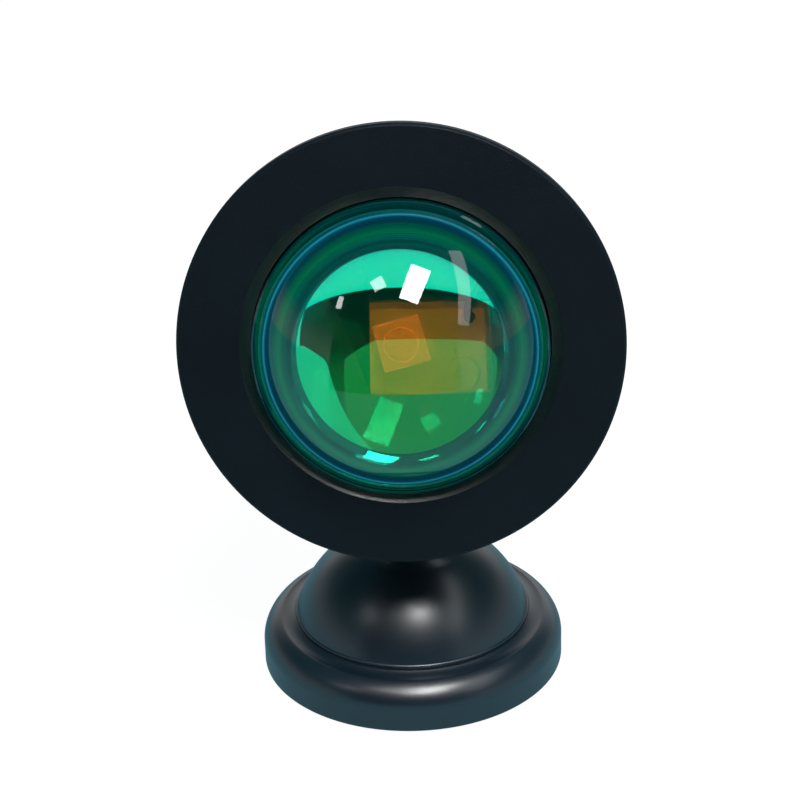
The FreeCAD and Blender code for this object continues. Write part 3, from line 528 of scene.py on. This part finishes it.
# %% Finishes on the solids that stay
NODE_FINISHES = {
    "lens_seal": "soft_pad", "bezel_set_screws": "black_steel", "heat_sink": "milled_aluminium",
    "heat_sink_screws": "bright_steel", "thermal_pad": "grey_pad", "led_board": "white_mask_painted_glow",
    "led_board_screw": "white_mask_painted_glow", "led_lead_red": "red_sleeve",
    "led_lead_black": "black_sleeve", "driver_board": "green_mask",
    "board_spacers": "yellow_brass", "driver_screws": "bright_steel", "inductor": "dark_ferrite",
    "capacitor": "can_sleeve", "controller_chip": "chip_epoxy", "power_socket": "bright_steel",
    "socket_tongue": "moulded_black", "switch_body": "moulded_black",
    "switch_plunger": "moulded_black", "rear_cap_screws": "black_steel",
    "friction_washers": "washer_white", "thrust_washer": "washer_white",
    "spring_washer": "bright_steel", "swivel_nut": "bright_steel", "base_weight": "cast_iron",
    "base_plate": "black_steel", "base_screws": "bright_steel", "weight_screw": "bright_steel",
    "tilt_nut": "black_steel", "tilt_screw": "black_steel", "neck_fork": "barrel_black",
    "front_bezel": "blasted_black", "projection_lens": "lens_glass",
    "filter_disc": "filter_coating", "light_baffle": "flocked_black",
    "head_housing": "barrel_black", "led_package": "package_white_painted_glow",
    "led_phosphor": "yellow_phosphor_painted_glow", "power_button": "moulded_black",
    "rear_cap": "barrel_black", "base_dome": "foot_paint", "base_ring": "foot_paint",
    "foot_pad": "soft_pad"}
for name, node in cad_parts.items():
    for slot in node.material_slots:
        slot.material = FINISHES[NODE_FINISHES[name]]
print("nodes painted", len(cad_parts))

# %% [markdown]
# The bezel is one turned ring: a flat disc with a broken edge, a shallow polished sink round
# the lens and a sleeve that goes into the barrel, with three threaded holes for set screws.

# %% Bezel
HOLE = 1.05
SET_SCREW_BACK = 6.2
# Three places round an axis, with one of them straight down or straight up.
ONE_DOWN, ONE_UP = (30, 150, 270), (90, 210, 330)
bezel = lathe("bezel_ring", [
    (33.9, 0), (34.3, 0.4), (34.3, 2.3), (33.9, 2.7), (25.2, 2.7), (25.2, 9.6), (21.8, 9.6),
    (21.8, 4.0), (20.5, 4.0), (20.5, 2.6), (22.95, 2.6), (22.95, 0.9), (24.7, 0)], steps=192)
soften(bezel, 0.1, segments=2, angle=20)


def set_screw_holes(inner, outer):
    """Holes that point at the lens axis, from one radius to another."""
    return [move(rod(HOLE, 0, outer - inner, sides=24), shift(0, 0, SET_SCREW_BACK)
                 @ about("Z", angle) @ shift(inner, 0, 0) @ about("Y", 90))
            for angle in ONE_DOWN]


shape_with(bezel, [one(set_screw_holes(20.5, 26.7))], "DIFFERENCE")
finish(bezel, HEAD, "blasted_black", "head", ["front_bezel"])

# %% [markdown]
# The sink is glossier than the blasted face round it, so its faces take a second finish. They
# are found by their place: between two radii, and just behind the bezel's face.

# %% Sink of the bezel
SINK_RADII, SINK_DEPTHS = (22.9, 24.75), (0.01, 1.0)
bezel.data.materials.append(FINISHES["sink_black"])
for face in bezel.data.polygons:
    middle = HEAD.inverted() @ face.center
    across = math.hypot(middle.x, middle.y)
    if (SINK_RADII[0] * MM < across < SINK_RADII[1] * MM
            and SINK_DEPTHS[0] * MM < middle.z < SINK_DEPTHS[1] * MM):
        face.material_index = 1
print("sink faces", sum(face.material_index for face in bezel.data.polygons))

# %% [markdown]
# The lens is a plano-convex piece: a deep dome on a short rim. Its outline is an arc from the
# tip to the shoulder. It is spun in many steps, because glass shows every flat, and its normals
# stay plain so that light bends as it would in a true sphere. Its flat face stops just short of
# the filter, so that no two faces share one place.

# %% Lens
TIP, SHOULDER, DOME_RADIUS = (0, -14.413), (21.6, -2.0), 25
GAP = 0.01
FLAT = 1.0 - GAP
lens = lathe("glass_lens", bow(TIP, SHOULDER, DOME_RADIUS, 1, 72)
             + [(22.35, -2.0), (22.65, -1.7), (22.65, FLAT), (0, FLAT)], steps=288)
move(lens, HEAD)
bpy.ops.object.shade_smooth_by_angle(angle=math.radians(20))
lens.data.materials.append(glass)
lens.data.materials.append(bonded)
for face in lens.data.polygons:
    if face.normal.dot(-along) < -0.99 and (HEAD.inverted() @ face.center).z > 0.9 * MM:
        face.material_index = 1
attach(lens, "head")
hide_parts("projection_lens")
print("lens faces", len(lens.data.polygons))

# %% [markdown]
# The filter is a thin disc with a small break round both faces. Its front has the coating, its
# back is plain glass, and its sides have the clear body.

# %% Filter
disc = lathe("colour_filter", [(0, 1.0), (22.55, 1.0), (22.65, 1.1), (22.65, 2.0), (22.55, 2.1),
                               (0, 2.1)], steps=192)
finish(disc, HEAD, "filter_coating", "head", ["filter_disc"])
disc.data.materials.append(filter_body)
disc.data.materials.append(glass)
for face in disc.data.polygons:
    facing = face.normal.dot(-along)
    face.material_index = 0 if facing > 0.9 else 2 if facing < -0.9 else 1

# %% [markdown]
# Stray light in the barrel is caught by a tube with fine grooves, like a thread. The real one
# is moulded in black. Its wall is drawn groove by groove and then spun.

# %% Baffle
GROOVES, GROOVE_PITCH = 22, 1.05
grooves = []
for step in range(GROOVES):
    z = 4.6 + step * GROOVE_PITCH
    grooves += [(20.3, z), (20.3, z + 0.35), (20.75, z + 0.7)]
baffle = lathe("grooved_baffle",
               [(21.5, 28.5), (21.5, 4.0), (20.3, 4.0)] + grooves + [(20.3, 28.5)])
finish(baffle, HEAD, "flocked_black", "head", ["light_baffle"], smooth=20)

# %% [markdown]
# The emitter is a small square package on a white board: a pale frame with a round bowl filled
# with yellow phosphor. It starts as a block whose bowl is cut out.

# %% Emitter
PACKAGE_TURN = -15
package = brick((-2.6, -2.6, 3.4), (2.6, 2.6, 4.1))
package.name = package.data.name = "emitter_package"
soften(package, 0.12)
bowl = lathe("bowl", [(0, 3.3), (2.1, 3.3), (1.9, 3.6), (0, 3.6)], steps=48)
shape_with(package, [bowl], "DIFFERENCE")
# The package and the phosphor carry painted glow in their finishes.
finish(package, HEAD @ about("Z", PACKAGE_TURN), "package_white_painted_glow", "head", ["led_package"])
glow = lathe("phosphor_drop", [(0, 3.6), (1.88, 3.59)] + bow((1.88, 3.4), (0, 3.2), 9.0, -1, 10),
             steps=48)
finish(glow, HEAD, "yellow_phosphor_painted_glow", "head", ["led_phosphor"])

# %% [markdown]
# The barrel is the lamp's body: a cell for the bezel's sleeve, a cone down to the barrel, cooling
# slots and the lug for the tilt screw, all cut from one blank. The lug is a plate with a round
# end. Bosses inside take the screws of the rear cap.

# %% Barrel's blank, lug and bosses
CAP_CIRCLE = 19.8
barrel = lathe("head_barrel", [
    (25.5, 2.7), (26.7, 2.7), (26.7, 10.8), (23.3, 14.2), (23.3, 50), (21.8, 50), (21.8, 30.5),
    (17.5, 30.5), (17.5, 28.5), (21.8, 28.5), (21.8, 10), (25.5, 10)], steps=168)
soften(barrel, 0.2, angle=25)


def plate(name, outline, half):
    """A plate cut to an outline of (y, z) corners, half of its width each side of X = 0."""
    piece = trace(name, [(-half, y, z) for y, z in outline])
    bpy.ops.mesh.edge_face_add()
    bpy.ops.mesh.extrude_region_move(TRANSFORM_OT_translate={"value": (half * 2 * MM, 0, 0)})
    bpy.ops.mesh.select_all(action="SELECT")
    bpy.ops.mesh.normals_make_consistent(inside=False)
    bpy.ops.object.mode_set(mode="OBJECT")
    return piece


def on_circle(radius, angles):
    """Places round Z, in mm, for screws and what they go into."""
    return [(radius * math.cos(math.radians(a)), radius * math.sin(math.radians(a)))
            for a in angles]


EAR = 4.0
ear_end = bow((-PIVOT_DROP, PIVOT_BACK + EAR), (-PIVOT_DROP, PIVOT_BACK - EAR), EAR, 1, 24)
lug = plate("lug", [(-22.6, 17.54), (-22.6, 32.54)] + ear_end, 2.5)
soften(lug, 0.35, angle=60)
bosses = [rod(2.3, 45.6, 50, *place) for place in on_circle(CAP_CIRCLE, ONE_UP)]
shape_with(barrel, [lug] + bosses, "UNION")
print("barrel blank faces", len(barrel.data.polygons))

# %% [markdown]
# Then the openings are cut: the cooling slots with their round ends, and the holes for the set
# screws, the cap's screws, the heat sink's screws and the tilt screw.

# %% Barrel's slots and holes
SLOTS, SINK_CIRCLE, TILT_HOLE = 14, 19.4, 1.55
slots = []
for step in range(SLOTS):
    slot = brick((18.35, -0.8, 34.5), (25.25, 0.8, 42.5))
    soften(slot, 0.75, segments=6, angle=80)
    slots.append(move(slot, about("Z", 360 / SLOTS * step)))
holes = set_screw_holes(21.8, 27)
holes += [rod(HOLE, 45.9, 50.1, *place, sides=24) for place in on_circle(CAP_CIRCLE, ONE_UP)]
holes += [rod(HOLE, 28.4, 30.6, *place, sides=24) for place in on_circle(SINK_CIRCLE, ONE_DOWN)]
holes.append(move(rod(TILT_HOLE, -4, 4), shift(0, -PIVOT_DROP, PIVOT_BACK) @ about("Y", 90)))
shape_with(barrel, [one(slots), one(holes)], "DIFFERENCE")
finish(barrel, HEAD, "barrel_black", "head", ["head_housing"])

# %% [markdown]
# The rear cap closes the barrel. It has a bevelled edge, six narrow vents, counterbored screws
# and two openings, for the push button and for the power socket.

# %% Rear cap
# A tool starts before the cap's inner face and ends past its outer face.
BEFORE, PAST = 49, 53
BUTTON_UP = 8
SOCKET_REACH, SOCKET_ROUND, SOCKET_DOWN = 2.84, 1.93, -10
SLIT_FROM, SLIT_PITCH, SLIT_HALF = 9.5, 3.1, 0.7
cap = lathe("rear_cover", [(0, 50), (23.3, 50), (23.3, 51.4), (22.7, 52), (0, 52)], steps=168)
soften(cap, 0.15, angle=20)
openings = [rod(4.3, BEFORE, PAST, 0, BUTTON_UP, sides=64)]
openings.append(one([rod(SOCKET_ROUND, BEFORE, PAST, x, SOCKET_DOWN)
                     for x in (-SOCKET_REACH, SOCKET_REACH)]))
openings.append(brick((-SOCKET_REACH, SOCKET_DOWN - SOCKET_ROUND, BEFORE),
                      (SOCKET_REACH, SOCKET_DOWN + SOCKET_ROUND, PAST)))
for place in on_circle(CAP_CIRCLE, ONE_UP):
    openings += [rod(HOLE, BEFORE, PAST, *place, sides=24), rod(2.2, 50.9, PAST, *place)]
for side in (-1, 1):
    for step in range(3):
        x = (SLIT_FROM + SLIT_PITCH * step) * side
        slit = brick((x - SLIT_HALF, -6, BEFORE), (x + SLIT_HALF, 6, PAST))
        soften(slit, 0.65, segments=6, angle=80)
        openings.append(slit)
shape_with(cap, openings, "DIFFERENCE")
finish(cap, HEAD, "barrel_black", "head", ["rear_cap"])

# %% [markdown]
# The push button is a turned cap with a shallow dish for a fingertip. A flange at its inner end
# keeps it behind the rear cap, and it rides on a body of its own.

# %% Push button
button = lathe("push_button", [
    (0, 49.2), (5.0, 49.2), (5.0, 49.95), (4.0, 49.95), (4.0, 52.7), (3.7, 53.1), (2.9, 53.1)]
    + bow((2.9, 53.1), (0, 52.75), 12.2, -1, 8), steps=96)
soften(button, 0.12, angle=25)
finish(button, HEAD @ shift(0, BUTTON_UP, 0), "moulded_black", "button", ["power_button"])

# %% [markdown]
# The fork is milled from a bar: a round collar, two ears and the slot for the lug. A long screw
# with a socket head goes through the ears and a nut clamps them on two friction washers.

# %% Fork
fork_end = bow((EAR, PIVOT_HIGH), (-EAR, PIVOT_HIGH), EAR, 1, 24)
fork = plate("tilt_fork", [(-EAR, 24.55), (EAR, 24.55)] + fork_end, 6.0)
soften(fork, 0.4, angle=60)
collar = lathe("collar", [(0, 22.95), (7, 22.95), (7, 24.55), (0, 24.55)])
soften(collar, 0.25)
stud = rod(3.0, 12.2, 23.4, sides=64)
shape_with(fork, [collar, stud], "UNION")
gap = brick((-3.0, -8, 26.5), (3.0, 8, 39))
ear_hole = move(rod(TILT_HOLE, -8, 8), shift(0, 0, PIVOT_HIGH) @ about("Y", 90))
shape_with(fork, [gap, ear_hole], "DIFFERENCE")
finish(fork, STAND, "barrel_black", "neck", ["neck_fork"])

# %% [markdown]
# The foot is two turned parts and a pad. A sprayed dome flares up to a flat for the neck and
# ends in a small lip. Three stems under it take the screws.

# %% Dome of the foot
STEM_CIRCLE = 12.6
inner_dome = bow((9, 19.02), (15.9, 12.06), 18.2, -1, 14)[1:]
lip = bow((19.45, 8.7), (19.25, 9.3), 0.36, 1, 8)
outer_dome = bow((19.25, 9.3), (9.7, 20.9), 20.2, 1, 40)[1:]
flare = bow((9.7, 20.9), (8.5, 22.0), 4.0, -1, 8)[1:]
dome = lathe("foot_dome", [(3.05, 22.15), (3.05, 17.5), (9, 17.5), (9, 19.02)] + inner_dome
             + [(15.9, 6.4), (17.3, 6.4), (17.3, 8.7)] + lip + outer_dome + flare
             + [(8.35, 22.15)], steps=192)
stems = [rod(2.4, 2.4, 15.6, *place) for place in on_circle(STEM_CIRCLE, ONE_UP)]
shape_with(dome, stems, "UNION")
finish(dome, STAND, "foot_paint", "base", ["base_dome"])

# %% [markdown]
# The dome stands in a heavy ring with a round shoulder and a hollow cove. Below it lies a soft
# pad with a groove near its edge and round holes for the screws' heads.

# %% Ring and pad of the foot
shoulder = bow((25.0, 4.1), (21.9, 8.1), 4.5, 1, 20)[1:]
cove = bow((21.9, 8.1), (19.75, 8.5), 3.0, -1, 12)[1:]
ring = lathe("foot_ring", [(22.9, 0.3), (24.85, 0.3), (25.0, 0.45), (25.0, 4.1)] + shoulder + cove
             + [(19.75, 8.7), (17.6, 8.7), (17.6, 2.4), (22.9, 2.4)], steps=192)
finish(ring, STAND, "foot_paint", "base", ["base_ring"])
pad = lathe("grip_pad", [(0, 0), (20.4, 0), (20.7, 0.4), (21.0, 0), (21.5, 0), (21.8, 0.3),
                         (21.8, 1.2), (0, 1.2)])
heads = [rod(2.5, -1, 1.3, *place) for place in on_circle(STEM_CIRCLE, ONE_UP) + [(0, 0)]]
shape_with(pad, [one(heads)], "DIFFERENCE")
finish(pad, STAND, "soft_pad", "base", ["foot_pad"])

# %% [markdown]
# The lamp stands on a plain white table. The table catches the shadow, and for the camera it
# also glows, so that it reads as white paper without more light on the lamp. Reflections see
# the same glow in a dim blue-green, which keeps the black finishes cold.

# %% Table
TABLE_GLOW, TABLE_SHARE = 1.1, 0.86
TABLE_COLD, WHITE = (0.12, 0.36, 0.46, 1), (1, 1, 1, 1)
bpy.ops.mesh.primitive_plane_add(size=6, location=(0, 0, 0))
table = bpy.context.object
table.name = "table"


def mix_colours(tree, share, first, second):
    """Mixes two colours; the share is that of the second."""
    mix = tree.nodes.new("ShaderNodeMix")
    mix.data_type = "RGBA"
    for socket, source in (("Factor", share), ("A", first), ("B", second)):
        feed(tree, source, mix.inputs[socket])
    return mix.outputs["Result"]


paper = bpy.data.materials.new("white_table")
paper.use_nodes = True
paper_tree = paper.node_tree
paper_skin = paper_tree.nodes["Principled BSDF"]
paper_skin.inputs["Base Color"].default_value = (0.86, 0.86, 0.86, 1)
paper_skin.inputs["Roughness"].default_value = 0.9
paper_skin.inputs["Specular IOR Level"].default_value = 0.1
ray = paper_tree.nodes.new("ShaderNodeLightPath").outputs
seen = reckon(paper_tree, "MAXIMUM", ray["Is Camera Ray"], ray["Is Transmission Ray"])
seen_or_mirrored = reckon(paper_tree, "MAXIMUM", seen, ray["Is Glossy Ray"])
bright = paper_tree.nodes.new("ShaderNodeEmission")
bright.inputs["Strength"].default_value = TABLE_GLOW
feed(paper_tree, mix_colours(paper_tree, seen, TABLE_COLD, WHITE), bright.inputs["Color"])
share = reckon(paper_tree, "MULTIPLY", seen_or_mirrored, TABLE_SHARE)
whole = mix_shaders(paper_tree, share, paper_skin.outputs["BSDF"], bright.outputs["Emission"])
feed(paper_tree, whole, paper_tree.nodes["Material Output"].inputs["Surface"])
table.data.materials.append(paper)
print("table glow", TABLE_GLOW, "share", TABLE_SHARE)

# %% [markdown]
# A glossy black lamp is photographed in a room that is bright at the back and dark at the
# front. A dark cloth lies on the table in front of the white paper and goes up behind the
# camera. The camera doesn't see it, but it keeps the disc black and the middle of the filter
# dark. Seen back out through the lens, the cloth and two cards have a green glow of their own,
# which gives the filter its green and teal shapes.

# %% Tools for the stage
lens_place = HEAD.to_translation()


def toward(azimuth, height, distance):
    """A place seen from the lens: azimuth 0 is the camera's side and 90 is +X."""
    a, e = math.radians(azimuth), math.radians(height)
    return lens_place + Vector((math.sin(a) * math.cos(e), -math.cos(a) * math.cos(e),
                                math.sin(e))) * distance


def stage_glow(name, colour, glow):
    """A black material with a glow that is seen only through the lens."""
    material = bpy.data.materials.new(name)
    material.use_nodes = True
    tree = material.node_tree
    skin = tree.nodes["Principled BSDF"]
    skin.inputs["Base Color"].default_value = (0, 0, 0, 1)
    skin.inputs["Roughness"].default_value = 1.0
    skin.inputs["Specular IOR Level"].default_value = 0.0
    path = tree.nodes.new("ShaderNodeLightPath")
    power = reckon(tree, "MULTIPLY", path.outputs["Is Transmission Ray"], glow)
    feed(tree, power, skin.inputs["Emission Strength"])
    feed(tree, colour, skin.inputs["Emission Color"])
    return material


def stage_gear(thing, material):
    """Gear of the stage that the camera and the shadows don't see."""
    thing.data.materials.append(material)
    thing.visible_camera = False
    thing.visible_shadow = False


print("lens place", [round(v, 4) for v in lens_place])

# %% [markdown]
# The cloth is drawn from the side, in mm, and spun a quarter of a turn round the lamp. Its glow
# grows from the table upwards.

# %% Dark cloth
CLOTH_GLOW = ((0.05, (0.0, 0.03, 0.03)), (0.16, (0.0, 0.12, 0.08)),
              (0.5, (0.0, 0.28, 0.15)), (0.95, (0.0, 0.4, 0.24)))
cloth_side = [(190, 0.6), (1000, 0.6), (1050, 100), (1000, 800), (600, 1150), (200, 1250)]
cloth = trace("dark_cloth", [(0, -far, high) for far, high in cloth_side])
bpy.ops.mesh.spin(steps=48, angle=math.radians(91), center=(0, 0, 0), axis=(0, 0, 1))
bpy.ops.object.mode_set(mode="OBJECT")
move(cloth, Matrix.Translation((0, lens_place.y, 0)) @ about("Z", 41))
cloth_finish = stage_glow("dark_cloth", (0, 0, 0, 1), 1.0)
cloth_tree = cloth_finish.node_tree
cloth_where = cloth_tree.nodes.new("ShaderNodeTexCoord")
cloth_axes = cloth_tree.nodes.new("ShaderNodeSeparateXYZ")
feed(cloth_tree, cloth_where.outputs["Object"], cloth_axes.inputs["Vector"])
feed(cloth_tree, ramp_of(cloth_tree, CLOTH_GLOW, cloth_axes.outputs["Z"]),
     cloth_tree.nodes["Principled BSDF"].inputs["Emission Color"])
stage_gear(cloth, cloth_finish)
print("cloth faces", len(cloth.data.polygons))

# %% [markdown]
# Each card faces the lens. The cards are there for the filter alone, so neither the gloss nor
# the soft light on the outside of the lamp takes anything from them.

# %% Cards
def card(name, place, size, colour, glow):
    bpy.ops.mesh.primitive_plane_add(size=1, location=place, scale=(*size, 1))
    board = bpy.context.object
    board.name = name
    board.rotation_euler = (place - lens_place).to_track_quat("Z", "Y").to_euler()
    stage_gear(board, stage_glow(name, colour, glow))
    board.visible_glossy = False
    board.visible_diffuse = False
    print(name, "at", [round(v, 2) for v in place])


card("grey_card", toward(-13, 15, 0.9), (0.46, 0.3), (0.0, 0.6, 0.3, 1), 0.6)
card("side_card", toward(51, 22, 0.88), (0.15, 0.7), (0.0, 0.9, 0.75, 1), 0.9)

# %% [markdown]
# Light comes from a few softboxes. Their shapes matter, because the dome of the lens shows each
# one as a small window. Each has its azimuth and height in degrees, its width and height in
# metres, its radiance, and its roll in degrees.

# %% Softboxes
BOX_FAR = 0.8


def softbox(name, azimuth, height, wide, tall, radiance, roll):
    """An area lamp that faces the lens. Radiance 1 shows as white when it is looked at."""
    lamp = bpy.data.lights.new(name, "AREA")
    lamp.shape = "RECTANGLE"
    lamp.size, lamp.size_y = wide, tall
    lamp.energy = radiance * wide * tall * math.pi
    lamp_object = bpy.data.objects.new(name, lamp)
    bpy.context.collection.objects.link(lamp_object)
    lamp_object.location = toward(azimuth, height, BOX_FAR)
    aim = (lamp_object.location - lens_place).to_track_quat("Z", "Y").to_matrix().to_4x4()
    lamp_object.rotation_euler = (aim @ about("Z", roll)).to_euler()
    print(name, "watts", round(lamp.energy, 2))


softbox("key_box", 19, 58, 0.19, 0.37, 27, -34)
softbox("side_box", -27, 57, 0.12, 0.12, 9, -44)
softbox("low_box", -55, 36, 0.11, 0.055, 9, -75)
softbox("streak_box", 66, 42, 0.13, 0.75, 2.2, -40)

# %% [markdown]
# The camera sees the room as plain white. For light and reflections the room is pale near the
# table and falls to a dim blue-green above, with a bright wall behind the lamp, which edges the
# black pieces. Reflections see all of it at less than half of its strength.

# %% Room
AIR = ((0.1, (0.95, 0.98, 1.0)), (0.32, (0.035, 0.22, 0.27)), (0.9, (0.02, 0.13, 0.18)))
WALL, WALL_FROM, WALL_TO = (2.0, 2.05, 2.1, 1), 0.7, 0.85
MIRRORED = 0.45
world = bpy.data.worlds.new("white_room")
bpy.context.scene.world = world
world.use_nodes = True
room = world.node_tree
room_where = room.nodes.new("ShaderNodeTexCoord")
room_axes = room.nodes.new("ShaderNodeSeparateXYZ")
feed(room, room_where.outputs["Generated"], room_axes.inputs["Vector"])
behind = room.nodes.new("ShaderNodeMapRange")
behind.inputs["From Min"].default_value = WALL_FROM
behind.inputs["From Max"].default_value = WALL_TO
feed(room, room_axes.outputs["Y"], behind.inputs["Value"])
air = ramp_of(room, AIR, room_axes.outputs["Z"])
walled = mix_colours(room, behind.outputs["Result"], air, WALL)
room_ray = room.nodes.new("ShaderNodeLightPath").outputs
backdrop = room.nodes["Background"]
feed(room, mix_colours(room, room_ray["Is Camera Ray"], walled, WHITE), backdrop.inputs["Color"])
strength = reckon(room, "MULTIPLY_ADD", room_ray["Is Glossy Ray"], MIRRORED - 1.0, 1.0)
feed(room, strength, backdrop.inputs["Strength"])
print("room nodes", len(room.nodes))

# %% [markdown]
# The camera stands 420 mm away and 26.5 degrees above the lamp. It is swung two degrees to one
# side and turned by about one and a half, as a camera held in the hand is. Its lens is long, so
# the disc stays round. The focal length and the offsets are in pixels of the square frame.

# %% Camera
RISE, SWING, ROLL, FAR = 26.51, 2.0, -1.6, 420.0
FRAME, FOCUS, SIDEWAYS, UPWAYS = 800, 2613.2, 6.0, 14.34
SENSOR = 36
aim_at = Vector((0, 0, 50))
rise, swing, roll = math.radians(RISE), math.radians(SWING), math.radians(ROLL)
out = Vector((math.sin(swing) * math.cos(rise), -math.cos(swing) * math.cos(rise),
              math.sin(rise)))
eye = aim_at + out * FAR
level_right = Vector((math.cos(swing), math.sin(swing), 0))
level_top = out.cross(level_right)
right = level_right * math.cos(roll) + level_top * math.sin(roll)
top = level_top * math.cos(roll) - level_right * math.sin(roll)
target = aim_at - right * (SIDEWAYS / FOCUS * FAR) - top * (UPWAYS / FOCUS * FAR)
back_way = (eye - target).normalized()
side_way = (right - back_way * right.dot(back_way)).normalized()
camera = bpy.data.objects.new("camera", bpy.data.cameras.new("camera"))
bpy.context.collection.objects.link(camera)
rows = (side_way, back_way.cross(side_way), back_way)
camera.matrix_world = Matrix.Translation(eye * MM) @ Matrix(rows).transposed().to_4x4()
camera.data.sensor_width = SENSOR
camera.data.lens = FOCUS / FRAME * SENSOR
camera.data.clip_start = 0.01
bpy.context.scene.camera = camera
bpy.context.scene.view_settings.view_transform = "Standard"
print("camera lens mm", round(camera.data.lens, 1))
